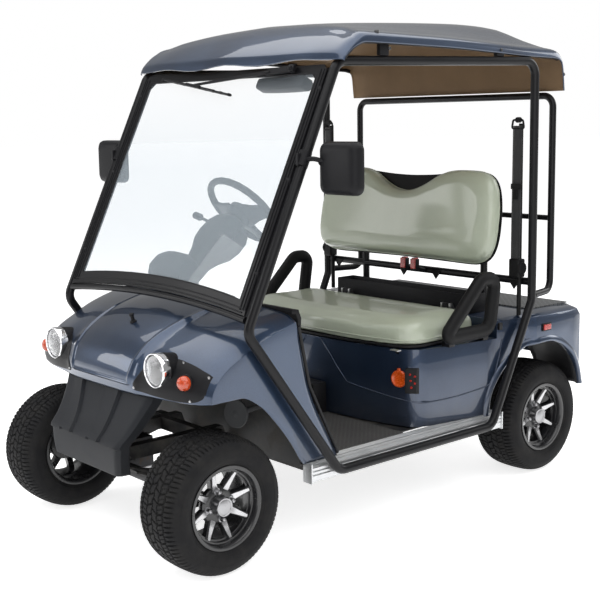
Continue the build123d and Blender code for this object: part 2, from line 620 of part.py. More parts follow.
# plan outline from the rear axle, right half from the front centre to the rear centre
BODY_PLAN = [
    (0, -773), (250, -755), (400, -728), (470, -706), (500, -680), (514, -638), (535, -498), (554, -348),
    (566, -248), (573, -128), (600, -92), (604, -8), (604, 152), (592, 214), (540, 257), (300, 290), (0, 297),
]
# wheel opening from the rear axle
ARCH = [
    (-342, 296), (-336, 360), (-303, 430), (-243, 495), (-168, 540), (-93, 562), (-18, 565), (52, 548),
    (117, 510), (167, 460), (200, 400), (220, 340), (220, 200), (-342, 200),
]


def full_plan(half, shrink):
    right = []
    for x, y in half:
        grow = 1 if y > -248 else -1
        side_share = max(0.0, (x - shrink) / x) if x > 0 else 0.0
        moved = y - grow * shrink if y < -648 or y > 202 else y
        right.append((x * side_share, WHEELBASE + moved))
    return [(-x, y) for x, y in right[::-1] if x > 0] + right


outer = slab_z(full_plan(BODY_PLAN, 0), BODY_LOW, DECK_Z - 34)
crown = Solid.make_loft([
    Wire.make_polygon([Vector(x, y, DECK_Z - 34) for x, y in full_plan(BODY_PLAN, 0)], close=True),
    Wire.make_polygon([Vector(x, y, DECK_Z - 10) for x, y in full_plan(BODY_PLAN, 9)], close=True),
    Wire.make_polygon([Vector(x, y, DECK_Z) for x, y in full_plan(BODY_PLAN, 28)], close=True),
], ruled=True)
outer = outer + crown
hollow = slab_z(full_plan(BODY_PLAN, BODY_WALL), BODY_LOW - 10, DECK_Z - 38)
hollow = hollow + Solid.make_loft([
    Wire.make_polygon([Vector(x, y, DECK_Z - 38) for x, y in full_plan(BODY_PLAN, 4)], close=True),
    Wire.make_polygon([Vector(x, y, DECK_Z - 13) for x, y in full_plan(BODY_PLAN, 13)], close=True),
    Wire.make_polygon([Vector(x, y, DECK_Z - 4) for x, y in full_plan(BODY_PLAN, 31)], close=True),
], ruled=True)
# seat box is lower than the deck behind it
step_y = WHEELBASE - 296.0
lid_cut = block(-700, 700, 800, step_y, SEAT_BASE_TOP, DECK_Z + 50)
hollow_low = block(-700, 700, 800, step_y + BODY_WALL, SEAT_BASE_TOP - BODY_WALL, DECK_Z + 50)
body = (outer - lid_cut) - (hollow - hollow_low)
body = body - block(-430, 430, WHEELBASE - 723, WHEELBASE - 330, SEAT_BASE_TOP - 20, SEAT_BASE_TOP + 20)
body = body - slab_x([(WHEELBASE + y, z) for y, z in ARCH], -700, 700)
body = body - block(-700, 700, WHEELBASE + 220, WHEELBASE + 352, 200, 340)
body = body - block(-400, 400, WHEELBASE + 212, WHEELBASE + 352, 200, 430)
body = body - block(-480, 480, WHEELBASE - 308, WHEELBASE + 212, 200, BODY_LOW + 90)
put("rear_body", body)
print("rear body done")
put("deck_mat", block(-500, 500, WHEELBASE - 8, WHEELBASE + 247, DECK_Z, DECK_Z + 5))
TRAY_Y = WHEELBASE - 268.0
TRAY_WALL = 5.0
tray = block(-395, 395, TRAY_Y, TRAY_Y + 100, DECK_Z, DECK_Z + 78)
tray = tray - block(
    TRAY_WALL - 395, 395 - TRAY_WALL, TRAY_Y + TRAY_WALL, TRAY_Y + 100 - TRAY_WALL,
    DECK_Z + TRAY_WALL, DECK_Z + 90,
)
put("rear_tray", tray)

# ---------------------------------------------------------------- roof
roof = skin(both_sides(ROOF_STATIONS), ROOF_WALL)
# pads between the side rails and the roof: y, half of the rail spacing, roof skin height
for y, pad_x, skin_z in [(700.0, 579.0, 1742.0), (WHEELBASE - 348, 596.0, 1728.0)]:
    share = (y - PILLAR_TOP[0]) / (POST_Y - PILLAR_TOP[0])
    rail_z = PILLAR_TOP[1] - 4 + (RAIL_TOP_Z - PILLAR_TOP[1] + 4) * share
    for side in (-1, 1):
        pad = block(side * pad_x - 8, side * pad_x + 8, y - 20, y + 20, rail_z + TUBE_R + 0.9, skin_z)
        roof = roof + pad
put("roof_shell", roof)

# ---------------------------------------------------------------- windscreen, in its own sloping plane
slope = Vector(0, PILLAR_TOP[0] - PILLAR_LOW[0], PILLAR_TOP[1] - PILLAR_LOW[1]).normalized()
facing = Vector(0, -slope.Z, slope.Y)
screen = Plane(origin=(0, PILLAR_LOW[0], PILLAR_LOW[1]), x_dir=(1, 0, 0), z_dir=facing)
SCREEN_TOP = 893.0
WIPER_X = 379.0
WIPER_UP = 876.0
SPINDLE_R = 5.0
SPINDLE_CLEAR = 0.3
CLEAR_HALF_W = 500.0
CLEAR_TOP = 862.0
FRAME_T = 10.0
BAR_RISE = 33.0
BAR_END_H = -12.0
SCREEN_BAR_R = 12.0
bar_mid = BAR_END_H + BAR_RISE


def on_screen(x, up, out=0.0):
    return screen.from_local_coords((x, up, out))


def screen_sheet(half_w, low_end, low_mid, high, out0, out1):
    corner = 24.0
    points = [
        on_screen(-half_w, low_end, out0), on_screen(half_w, low_end, out0),
        on_screen(half_w, high - corner, out0), on_screen(half_w - corner, high, out0),
        on_screen(corner - half_w, high, out0), on_screen(-half_w, high - corner, out0),
    ]
    edges = [ThreePointArc(points[0], on_screen(0, low_mid, out0), points[1])]
    for a, b in zip(points[1:], points[2:] + points[:1]):
        edges.append(Line(a, b))
    face = Face(Wire([e.edge() for e in edges]))
    return extrude(face, amount=out1 - out0, dir=tuple(facing))


outer_sheet = screen_sheet(GLASS_HALF_W, BAR_END_H + SCREEN_BAR_R + 1, bar_mid + SCREEN_BAR_R + 1,
    SCREEN_TOP, 0, FRAME_T)
clear_sheet = screen_sheet(CLEAR_HALF_W, 52, 84, CLEAR_TOP, -20, 40)
frame_ring = outer_sheet - clear_sheet
spindle_cut = Plane(origin=on_screen(WIPER_X, WIPER_UP, -8), x_dir=(1, 0, 0),
    z_dir=facing) * Circle(SPINDLE_R + SPINDLE_CLEAR)
frame_ring = frame_ring - extrude(spindle_cut, amount=60)
bar_half = 551.0
bar_path = Wire([ThreePointArc(on_screen(-bar_half, BAR_END_H), on_screen(0, bar_mid),
    on_screen(bar_half, BAR_END_H)).edge()])
bar_start = Plane(origin=on_screen(-bar_half, BAR_END_H), z_dir=bar_path.tangent_at(0))
lower_bar = sweep(bar_start * Circle(SCREEN_BAR_R), path=bar_path)
put("windscreen_frame", frame_ring, lower_bar)
put("windscreen_glass", screen_sheet(CLEAR_HALF_W, 52, 84, CLEAR_TOP, 3, 3 + GLASS_T))

case_face = Plane(origin=on_screen(290, 846, -8), x_dir=(1, 0, 0), z_dir=-facing)
wiper_motor = extrude(case_face * RectangleRounded(260, 46, 12), amount=52)
spindle_base = Plane(origin=on_screen(WIPER_X, WIPER_UP, -8), x_dir=(1, 0, 0), z_dir=facing)
spindle_block = extrude(Plane(origin=on_screen(WIPER_X, WIPER_UP - 4, -8), x_dir=(1, 0, 0),
    z_dir=-facing) * Circle(18), amount=30)
spindle = extrude(spindle_base * Circle(SPINDLE_R), amount=36)
wiper_motor = wiper_motor + spindle_block + spindle
put("wiper_motor", wiper_motor)
arm_end = (-183.0, 832.0)
blade_a = (-418.0, 872.0)
blade_b = (71.0, 789.0)


def screen_strip(start, end, half_w0, half_w1, out0, out1):
    # flat tapered strip lying along the windscreen
    run_x = end[0] - start[0]
    run_up = end[1] - start[1]
    size = math.hypot(run_x, run_up)
    side_x = -run_up / size
    side_up = run_x / size
    corners = [
        on_screen(start[0] + side_x * half_w0, start[1] + side_up * half_w0, out0),
        on_screen(end[0] + side_x * half_w1, end[1] + side_up * half_w1, out0),
        on_screen(end[0] - side_x * half_w1, end[1] - side_up * half_w1, out0),
        on_screen(start[0] - side_x * half_w0, start[1] - side_up * half_w0, out0),
    ]
    return extrude(Face(Wire.make_polygon(corners, close=True)), amount=out1 - out0, dir=tuple(facing))


hub_plane = Plane(origin=on_screen(WIPER_X, WIPER_UP, 15), x_dir=(1, 0, 0), z_dir=facing)
wiper = extrude(hub_plane * Circle(12), amount=17)
wiper = wiper - extrude(hub_plane * Circle(SPINDLE_R + PIN_GAP), amount=14)
wiper = wiper + screen_strip((WIPER_X - 8, WIPER_UP), arm_end, 8, 5, 26.0, 31.0)
wiper = wiper + screen_strip(blade_a, blade_b, 6, 6, 15.0, 26.5)
put("wiper_arm", wiper)

# ---------------------------------------------------------------- mirrors
MIRROR = (692.0, 386.0, 1315.0)
mirrors = []
for side in (-1, 1):
    cx, cy, cz = MIRROR
    plate = Plane(origin=(side * cx, cy - 22, cz), x_dir=(1, 0, 0), z_dir=(0, 1, 0))
    shell = extrude(plate * RectangleRounded(178, 174, 30), amount=46)
    lean = (PILLAR_TOP[0] - PILLAR_LOW[0]) / (PILLAR_TOP[1] - PILLAR_LOW[1])
    pillar_y = PILLAR_LOW[0] + (cz + 30 - PILLAR_LOW[1]) * lean
    shell = shell + bar((side * (PILLAR_X + TUBE_R + 1), pillar_y, cz + 30),
        (side * (cx - 60), cy, cz + 30), 8)
    clamp = bar((side * PILLAR_X, pillar_y - 12, cz + 4), (side * PILLAR_X, pillar_y + 13, cz + 56),
        TUBE_R + 4)
    grip = shell + clamp
    tube_low = (side * (PILLAR_X + 2), LOWER_BEND[0], LOWER_BEND[1])
    tube_high = (side * (PILLAR_X - 2), top_y, top_z - 4)
    mirrors.append(grip - bar(tube_low, tube_high, TUBE_R + 0.2))
put("mirrors", *mirrors)

# ---------------------------------------------------------------- seat bottom on its rear hinge
HINGE_Y = WHEELBASE - 302.0
HINGE_Z = 712.0
HINGE_R = 4.0
HINGE_X = 300.0
PLATE_Z = 612.0
# cushion outline from its own centre, right half from the front centre to the rear centre
SEAT_MID_Y = WHEELBASE - 554.0
SEAT_PLAN = [
    (0, -236), (200, -228), (340, -210), (430, -188), (480, -158), (505, -109), (505, 186), (495, 222),
    (470, 236), (0, 236),
]


def seat_plan(amount, z):
    right = []
    for x, y in SEAT_PLAN:
        shrink_y = 1 - amount / 236
        right.append((x * (1 - amount / CUSHION_HALF_W), SEAT_MID_Y + y * shrink_y))
    points = [(-x, y) for x, y in right[::-1] if x > 0] + right[:-1]
    return Wire.make_polygon([Vector(x, y, z) for x, y in points], close=True)


plate_face = Face(seat_plan(14, PLATE_Z))
plate = extrude(plate_face, amount=SEAT_PLATE_T, dir=(0, 0, 1))
for side in (-1, 1):
    x = side * HINGE_X
    plate = plate + block(x - 14, x + 14, HINGE_Y - 46, HINGE_Y - 6, PLATE_Z, PLATE_Z + SEAT_PLATE_T)
    plate = plate + block(x - 14, x + 14, HINGE_Y - 11, HINGE_Y - 6, PLATE_Z, HINGE_Z)
    plate = plate + bar((x - 14, HINGE_Y, HINGE_Z), (x + 14, HINGE_Y, HINGE_Z), 9)
    plate = plate - bar((x - 30, HINGE_Y, HINGE_Z), (x + 30, HINGE_Y, HINGE_Z), HINGE_R + PIN_GAP)
put("seat_plate", plate)
cushion_low = PLATE_Z + SEAT_PLATE_T
layers = [(10, cushion_low), (0, cushion_low + 22), (0, cushion_low + 58), (14, cushion_low + 84),
    (48, cushion_low + 100)]
cushion = Solid.make_loft([seat_plan(amount, z) for amount, z in layers], ruled=True)
put("seat_cushion", cushion)
hinges = []
for side in (-1, 1):
    x = side * HINGE_X
    pin = bar((x - 27, HINGE_Y, HINGE_Z), (x + 27, HINGE_Y, HINGE_Z), HINGE_R)
    for end in (-1, 1):
        ear_x = x + end * 22
        ear = [
            (HINGE_Y - 8, HINGE_Z + 8), (HINGE_Y + 8, HINGE_Z + 8), (HINGE_Y + 32, DECK_Z),
            (HINGE_Y + 10, DECK_Z), (HINGE_Y - 8, HINGE_Z - 8),
        ]
        pin = pin + slab_x(ear, ear_x - 4, ear_x + 4)
    hinges.append(pin + block(x - 26, x + 26, HINGE_Y + 11, HINGE_Y + 32, DECK_Z, DECK_Z + 4))
put("seat_hinges", *hinges)

# ---------------------------------------------------------------- backrest
back_dir = math.radians(BACK_TILT)
back_low_y, back_low_z = BACK_LOW
back_plane = Plane(origin=(0, back_low_y, back_low_z), x_dir=(1, 0, 0),
    z_dir=(0, -math.cos(back_dir), math.sin(back_dir)))
# outline of the backrest, right half, from the bottom centre to the top dip
BACK_OUTLINE = [
    (0, 6), (420, 0), (478, 14), (508, 52), (518, 120), (508, 230), (478, 310), (430, 362), (370, 384),
    (250, 376), (170, 352), (90, 316), (0, 306),
]


def back_sheet(amount, out):
    right = [(x * (1 - amount / 518), 190 + (up - 190) * (1 - amount / 190)) for x, up in BACK_OUTLINE]
    points = [(-x, up) for x, up in right[-2:0:-1]] + right
    ordered = points[-1:] + points[:-1]
    return Wire.make_polygon([back_plane.from_local_coords((x, up, out)) for x, up in ordered],
        close=True)


back_shell = Solid.make_loft([back_sheet(8, -SHELL_BACK), back_sheet(0, -2)], ruled=True)
put("backrest_shell", back_shell)
pads = [(4, -1.7), (0, 14), (6, 38), (26, 56), (60, 66)]
backrest = Solid.make_loft([back_sheet(amount, out) for amount, out in pads], ruled=True)
put("backrest_cushion", backrest)

# ---------------------------------------------------------------- armrests
ARM_X = 556.0
arms = []
for side in (-1, 1):
    x = side * ARM_X
    outline = [(-458, 640), (-330, 640), (-296, 872), (-386, 862), (-608, 640)]
    arm = hoop([(x, WHEELBASE + y, z) for y, z in outline], 19, 26)
    for y in (WHEELBASE - 558, WHEELBASE - 358):
        arm = arm + block(side * 530 - 14, side * 530 + 14, y - 14, y + 14, SEAT_BASE_TOP, 640)
    arms.append(arm)
put("armrests", *arms)

# ---------------------------------------------------------------- seat belts
belts = []
straps = []
BELT_X = 552.0
BELT_Y = POST_Y - 23.0
for side in (-1, 1):
    x = side * BELT_X
    post = bar((x, BELT_Y, DECK_Z), (x, BELT_Y, 1440), 9)
    ring_d = bar((x, BELT_Y - 16, 1446), (x, BELT_Y + 8, 1446), 16)
    reel = block(x - 24, x + 24, BELT_Y - 30, BELT_Y + 14, 838, 912)
    belts.append(post + ring_d + reel)
    line = [(BELT_Y - 20, 912.3), (BELT_Y - 17.5, 912.3), (BELT_Y - 10, 1429.7), (BELT_Y - 12.5, 1429.7)]
    straps.append(slab_x(line, x - 22, x + 22))
for side in (-1, 1):
    x = side * 30
    stalk = bar((x, BAR_Y - BAR_R - 0.9, BAR_Z), (x, BAR_Y - 72, 836), 7)
    belts.append(stalk + block(x - 14, x + 14, BAR_Y - 88, BAR_Y - 66, 820, 866))
put("seat_belts", *belts)
put("belt_webbing", *straps)

# ---------------------------------------------------------------- small fittings
pedals = []
for x, wide in ((STEER_WHEEL_X - 60, 34), (STEER_WHEEL_X + 70, 46)):
    pad = slab_x([(404, 372), (410, 366), (452, 430), (446, 436)], x - wide, x + wide)
    leg = slab_x([(FLOOR_FRONT_Y + 4, 452), (FLOOR_FRONT_Y + 4, 470), (446, 432), (432, 414)], x - 8,
        x + 8)
    pedals.append(pad + leg)
put("pedals", *pedals)
horn_profile = [(-22, 0), (-22, 42), (-8, 44), (0, 30), (18, 22), (18, 8), (86, 8), (86, 0)]
put("horn", ring(horn_profile, (430, FLOOR_FRONT_Y - 86, 486), "Y"))
put("floor_box", block(-60, 83, SEAT_WALL_Y - 70, SEAT_WALL_Y - 1, FLOOR_TOP + MAT_T, 430))
wall_y = WHEELBASE - 728.0
wall_rise = 22 / 70
port_plan = [(x, wall_y + (x - 400) * wall_rise - depth) for x, depth in ((452, 12), (480, 12), (480, 0.3), (452, 0.3))]
port = slab_z(port_plan, 482, 552)
reflector_at = (426, wall_y + 2 * wall_rise - 0.3, 516)
reflector = ring([(-8, 0), (-8, 17), (-4, 22), (0, 22), (0, 0)], reflector_at, "Y")
put("charge_port", port, reflector)
rear_lamps = []
for side in (-1, 1):
    x0, x1 = sorted((side * 604.3, side * 609))
    rear_lamps.append(block(x0, x1, WHEELBASE - 58, WHEELBASE - 8, 612, 636))
    face_x = side * 470
    tail = block(face_x - 40, face_x + 40, WHEELBASE + 257, WHEELBASE + 282, 560, 600)
    rear_lamps.append(biggest(tail - body))
put("signal_lamps", *turns, *rear_lamps)
print("all pieces written")
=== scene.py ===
# Open two-seat golf cart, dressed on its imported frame. Metres, front towards -Y, +X is the cart's left.
import math

import bmesh
import bpy
from mathutils import Matrix, Vector
from mathutils.bvhtree import BVHTree


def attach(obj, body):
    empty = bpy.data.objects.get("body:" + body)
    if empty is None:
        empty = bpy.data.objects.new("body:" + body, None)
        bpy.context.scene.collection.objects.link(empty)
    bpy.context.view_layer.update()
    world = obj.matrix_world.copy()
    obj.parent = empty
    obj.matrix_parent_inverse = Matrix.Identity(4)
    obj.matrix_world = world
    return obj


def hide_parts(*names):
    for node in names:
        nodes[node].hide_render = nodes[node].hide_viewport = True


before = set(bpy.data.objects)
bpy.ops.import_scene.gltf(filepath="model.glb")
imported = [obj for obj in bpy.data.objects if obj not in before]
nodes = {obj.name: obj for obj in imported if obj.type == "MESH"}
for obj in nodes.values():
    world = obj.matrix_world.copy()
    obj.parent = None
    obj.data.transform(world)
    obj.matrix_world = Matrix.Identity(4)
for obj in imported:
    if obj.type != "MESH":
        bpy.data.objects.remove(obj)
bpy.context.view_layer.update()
axleY = -0.856  # front axle line
print("frame loaded", len(nodes), "pieces")


# shader sums
class Feed:
    # one output socket, usable in ordinary sums
    def __init__(self, finish, socket):
        self.finish = finish
        self.socket = socket

    def __add__(self, other):
        return self.finish.maths("ADD", self, other)

    def __radd__(self, other):
        return self.finish.maths("ADD", other, self)

    def __sub__(self, other):
        return self.finish.maths("SUBTRACT", self, other)

    def __rsub__(self, other):
        return self.finish.maths("SUBTRACT", other, self)

    def __mul__(self, other):
        return self.finish.maths("MULTIPLY", self, other)

    def __rmul__(self, other):
        return self.finish.maths("MULTIPLY", other, self)

    def __truediv__(self, other):
        return self.finish.maths("DIVIDE", self, other)

    def __gt__(self, other):
        return self.finish.maths("GREATER_THAN", self, other)

    def __lt__(self, other):
        return self.finish.maths("LESS_THAN", self, other)


class Finish:
    # one material and the nodes that feed its shader
    def __init__(self, name, **plain):
        self.material = bpy.data.materials.new(name)
        self.material.use_nodes = True
        self.tree = self.material.node_tree
        self.shader = self.tree.nodes["Principled BSDF"]
        self.place = self.node("ShaderNodeTexCoord", out="Object")
        for socketName, value in plain.items():
            self.feed(socketName.replace("_", " "), value)

    def node(self, kind, settings=None, feeds=None, out=0):
        made = self.tree.nodes.new(kind)
        for key, value in (settings or {}).items():
            setattr(made, key, value)
        for key, value in (feeds or {}).items():
            self.plug(made.inputs[key], value)
        return Feed(self, made.outputs[out])

    def plug(self, socket, value):
        if isinstance(value, Feed):
            self.tree.links.new(value.socket, socket)
        elif isinstance(value, tuple) and len(value) == 3 and socket.type == "RGBA":
            socket.default_value = (*value, 1.0)
        else:
            socket.default_value = value

    def feed(self, socketName, value):
        self.plug(self.shader.inputs[socketName], value)

    def maths(self, how, a, b=0.0, clamp=False):
        return self.node("ShaderNodeMath", {"operation": how, "use_clamp": clamp}, {0: a, 1: b})

    def noise(self, scale, detail=3.0, rough=0.5, stretch=None):
        at = self.place
        if stretch:
            at = self.node("ShaderNodeMapping", {}, {"Vector": self.place, "Scale": stretch})
        feeds = {"Vector": at, "Scale": scale, "Detail": detail, "Roughness": rough}
        return self.node("ShaderNodeTexNoise", {}, feeds)

    def cells(self, scale, out="Distance", feature="F1"):
        return self.node("ShaderNodeTexVoronoi", {"feature": feature}, {"Vector": self.place, "Scale": scale}, out)

    def mix(self, share, low, high):
        return self.node("ShaderNodeMix", {"data_type": "RGBA"}, {0: share, 6: low, 7: high}, 2)

    def axis(self, letter, place=None):
        return self.node("ShaderNodeSeparateXYZ", {}, {0: place or self.place}, letter)

    def span(self, value, low, high, outLow=0.0, outHigh=1.0):
        return self.node("ShaderNodeMapRange", {"clamp": True}, {0: value, 1: low, 2: high, 3: outLow, 4: outHigh})

    def bump(self, height, strength, depth):
        feeds = {"Strength": strength, "Distance": depth, "Height": height}
        self.feed("Normal", self.node("ShaderNodeBump", {}, feeds))


def shaded(colour, share, more=0.0):
    return tuple(min(1.0, c * share + more) for c in colour)


def bodyPaint():
    look = {"dark": (0.011, 0.022, 0.05), "light": (0.04, 0.069, 0.128), "dust": (0.16, 0.15, 0.14), "rough": 0.3}
    f = Finish("bodyPaint", Metallic=0.66, Coat_Weight=1.0, Coat_Roughness=0.035)
    flake = f.axis("X", f.cells(1400.0, out="Color"))
    shade = f.span(f.noise(3.0, 2.0) * 0.7 + flake * 0.3, 0.25, 0.75)
    low = f.span(f.axis("Z"), 0.28, 0.5, 0.35, 0.0)  # road dust near the ground
    colour = f.mix(shade, look["dark"], look["light"])
    f.feed("Base Color", f.mix(low * f.noise(11.0, 5.0), colour, look["dust"]))
    f.feed("Roughness", look["rough"] + flake * 0.06 + low * 0.3)
    f.bump(f.noise(55.0, 2.0), 0.05, 0.0004)
    return f.material


def roofLining():
    f = Finish("roofLining", Specular_IOR_Level=0.35)
    fibre = f.noise(220.0, 4.0, 0.7, (1, 0.25, 1))
    f.feed("Base Color", f.mix(f.noise(9.0, 5.0, 0.6) * 0.6 + fibre * 0.4, (0.17, 0.105, 0.055), (0.3, 0.2, 0.11)))
    f.feed("Roughness", 0.5 + fibre * 0.25)
    f.bump(fibre, 0.25, 0.0006)
    return f.material


def grainedPlastic(name, colour, rough, grain, strength, dusty):
    f = Finish(name, Specular_IOR_Level=0.16)
    pits = f.cells(grain)
    cloud = f.noise(6.0, 4.0)
    low = f.span(f.axis("Z"), 0.2, 0.6, dusty, 0.0)
    base = f.mix(cloud, colour, shaded(colour, 1.35, 0.003))
    f.feed("Base Color", f.mix(low * f.noise(14.0, 5.0), base, (0.2, 0.19, 0.17)))
    f.feed("Roughness", rough + cloud * 0.12 - pits * 0.08)
    f.bump(pits, strength, 0.0006)
    return f.material


def clouded(name, low, high, cloud, rough, edges=None, stretch=None, relief=None, **plain):
    # two tones over a drift of noise, and a roughness that follows it
    f = Finish(name, **plain)
    drift = f.noise(*cloud, stretch=stretch)
    mask = f.span(drift, *edges) if edges else drift
    f.feed("Base Color", f.mix(mask, low, high))
    f.feed("Roughness", rough[0] + mask * rough[1])
    if relief:
        texture, strength, depth = relief
        f.bump(f.noise(*texture) if texture else drift, strength, depth)
    return f.material


def brightSteel(name, colour, rough):
    return clouded(name, shaded(colour, 0.8), colour, (160.0, 3.0, 0.6), (rough, 0.14), stretch=(1, 12, 12),
                   relief=(None, 0.08, 0.0003), Metallic=1.0)


def tyreRubber():
    f = Finish("tyreRubber", Specular_IOR_Level=0.2)
    cloud = f.noise(14.0, 6.0, 0.65)
    f.feed("Base Color", f.mix(f.span(cloud, 0.42, 0.72) * 0.4, (0.007, 0.007, 0.008), (0.038, 0.036, 0.033)))
    f.feed("Roughness", 0.6 + cloud * 0.2)
    f.bump(f.noise(420.0, 4.0, 0.7), 0.22, 0.0005)
    return f.material


def seatVinyl():
    f = Finish("seatVinyl", Coat_Weight=0.8, Coat_Roughness=0.1, Specular_IOR_Level=0.5)
    grain = f.span(f.cells(420.0, feature="DISTANCE_TO_EDGE"), 0.0, 0.1)
    cloud = f.noise(7.0, 4.0, 0.6)
    base = f.mix(cloud, (0.41, 0.455, 0.355), (0.48, 0.525, 0.415))
    f.feed("Base Color", f.mix((1.0 - grain) * 0.25, base, (0.3, 0.31, 0.24)))
    f.feed("Roughness", 0.34 + cloud * 0.1)
    f.bump(grain * 0.5 + f.noise(60.0, 3.0) * 0.5, 0.16, 0.0005)
    return f.material


def clearGlass():
    # thin clear sheet with a pale sheen over it
    f = Finish("clearGlass", Specular_IOR_Level=0.6, IOR=1.5)
    haze = f.noise(1.8, 3.0)
    f.feed("Base Color", f.mix(haze, (0.6, 0.69, 0.76), (0.68, 0.77, 0.84)))
    f.feed("Roughness", 0.015 + haze * 0.02)
    f.feed("Alpha", 0.19 - f.span(f.axis("Z"), 1.3, 1.6) * 0.15 + haze * 0.05)
    return f.material


def lampLens():
    colour = (0.97, 0.98, 1.0)
    f = Finish("lampLens", Transmission_Weight=0.85, IOR=1.46)
    f.feed("Base Color", f.mix(f.noise(40.0), colour, shaded(colour, 1.1)))
    f.feed("Roughness", 0.06 + f.noise(30.0) * 0.04)
    return f.material


def tintedLens(name, colour):
    f = Finish(name, Coat_Weight=0.8, Coat_Roughness=0.05)
    cells = f.cells(260.0)
    f.feed("Base Color", f.mix(cells, shaded(colour, 0.55), colour))
    f.feed("Roughness", 0.22 + cells * 0.1)
    f.bump(cells, 0.4, 0.0008)
    return f.material


def treadMat(name, colour, pitch):
    # rubber mat with small raised bars set crosswise; the bars are painted lighter and the gaps between them darker,
    # as painted light and shade
    f = Finish(name, Specular_IOR_Level=0.4)
    x, y = f.axis("X") / pitch, f.axis("Y") / pitch
    one, two, gap = f.maths("FRACT", x + y), f.maths("FRACT", x - y), 0.62
    raised = f.maths("MAXIMUM", (one > gap) * (two < gap), (two > gap) * (one < gap))
    # painted highlight on the raised bars and painted shade in the gaps between them
    base = f.mix(raised, shaded(colour, 0.6), shaded(colour, 1.4))
    f.feed("Base Color", f.mix(f.noise(9.0, 6.0, 0.65) * 0.35, base, (0.17, 0.16, 0.145)))
    f.feed("Roughness", 0.62 - raised * 0.16)
    f.bump(raised, 0.6, 0.0016)
    return f.material


def ribbedMetal():
    f = Finish("ribbedMetal", Metallic=0.85)
    streak = f.noise(90.0, 4.0, 0.6, (8, 0.4, 8))
    worn = f.noise(12.0, 5.0)
    f.feed("Base Color", f.mix(streak * 0.6 + worn * 0.4, (0.42, 0.43, 0.44), (0.78, 0.79, 0.8)))
    f.feed("Roughness", 0.26 + worn * 0.22)
    f.bump(streak, 0.08, 0.0003)
    return f.material


def wovenStrap():
    colour = (0.012, 0.012, 0.013)
    f = Finish("wovenStrap", Specular_IOR_Level=0.3, Sheen_Weight=0.3)
    ribs = f.maths("SINE", f.axis("X") * 5200.0)
    picks = f.maths("SINE", f.axis("Z") * 3600.0)
    weave = f.span(ribs * picks, -1.0, 1.0)
    f.feed("Base Color", f.mix(weave, colour, shaded(colour, 2.4)))
    f.feed("Roughness", 0.72 + weave * 0.12)
    f.bump(weave, 0.5, 0.0004)
    return f.material


paint, lining, rubber, vinyl = bodyPaint(), roofLining(), tyreRubber(), seatVinyl()
glass, lens, ribbed, strap = clearGlass(), lampLens(), ribbedMetal(), wovenStrap()
# name, colour, roughness, grain, strength of the grain, dust near the ground
blackPlastic = grainedPlastic("blackPlastic", (0.007, 0.007, 0.0083), 0.42, 1100.0, 0.2, 0.05)
softBlack = grainedPlastic("softBlack", (0.0055, 0.0055, 0.006), 0.5, 700.0, 0.12, 0.0)
skirtPlastic = grainedPlastic("skirtPlastic", (0.015, 0.0165, 0.02), 0.5, 520.0, 0.45, 0.1)
mouldedGrey = grainedPlastic("mouldedGrey", (0.032, 0.032, 0.034), 0.55, 700.0, 0.3, 0.1)
hornGrey = grainedPlastic("hornGrey", (0.085, 0.088, 0.092), 0.45, 500.0, 0.2, 0.1)
gloss = clouded("glossBlack", (0.008, 0.008, 0.009), (0.016, 0.016, 0.018), (20.0, 4.0), (0.22, 0.12),
                relief=((160.0, 2.0), 0.08, 0.0003), Coat_Weight=0.35, Coat_Roughness=0.08)
tube = clouded("tubePaint", (0.0045, 0.0045, 0.0055), (0.009, 0.009, 0.0105), (8.0, 3.0), (0.3, 0.12),
               relief=((420.0, 2.0), 0.12, 0.0003), Coat_Weight=0.1, Coat_Roughness=0.12, Specular_IOR_Level=0.18)
chassisBlack = clouded("chassisPaint", (0.014, 0.014, 0.015), (0.085, 0.078, 0.068), (12.0, 6.0, 0.65), (0.48, 0.35),
                       edges=(0.45, 0.75), relief=((140.0, 4.0), 0.2, 0.0006))
cast = clouded("castMetal", (0.055, 0.055, 0.058), (0.12, 0.075, 0.045), (18.0, 6.0, 0.7), (0.55, 0.3),
               edges=(0.56, 0.78), relief=((260.0, 5.0, 0.7), 0.35, 0.0008), Metallic=0.55)
alloyFace = clouded("machinedAlloy", (0.42, 0.42, 0.43), (0.66, 0.66, 0.67), (420.0, 3.0, 0.6), (0.2, 0.16),
                    stretch=(6, 1, 1), relief=(None, 0.07, 0.0002), Metallic=0.95)
chrome = clouded("chromePlate", (0.78, 0.78, 0.8), (0.92, 0.92, 0.93), (30.0, 5.0), (0.05, 0.09), Metallic=1.0)
steel = brightSteel("brightSteel", (0.55, 0.55, 0.56), 0.28)
mirrorGlass = brightSteel("mirrorGlass", (0.85, 0.86, 0.88), 0.02)
capMetal = brightSteel("capMetal", (0.4, 0.4, 0.41), 0.24)
bowlSilver = brightSteel("bowlSilver", (0.8, 0.81, 0.83), 0.12)
amber = tintedLens("amberLens", (0.7, 0.075, 0.012))
orange = tintedLens("orangeReflector", (0.8, 0.1, 0.006))
red = tintedLens("redLens", (0.58, 0.018, 0.01))
floorRubber = treadMat("floorRubber", (0.045, 0.045, 0.046), 0.022)
deckRubber = treadMat("deckRubber", (0.1, 0.105, 0.11), 0.03)
print("finishes ready")


# shapes
bothSides = (-1, 1)


def at(x, y, z):
    # a place in millimetres from the front axle, as a point of the shared frame
    return Vector((x / 1000, y / 1000 + axleY, z / 1000))


def turnAngles(count, start=0.0):
    return [2 * math.pi * (k + start) / count for k in range(count)]


def knotsAlong(points):
    knots = [0.0]
    for a, b in zip(points, points[1:]):
        knots.append(knots[-1] + math.dist(a, b))
    return knots


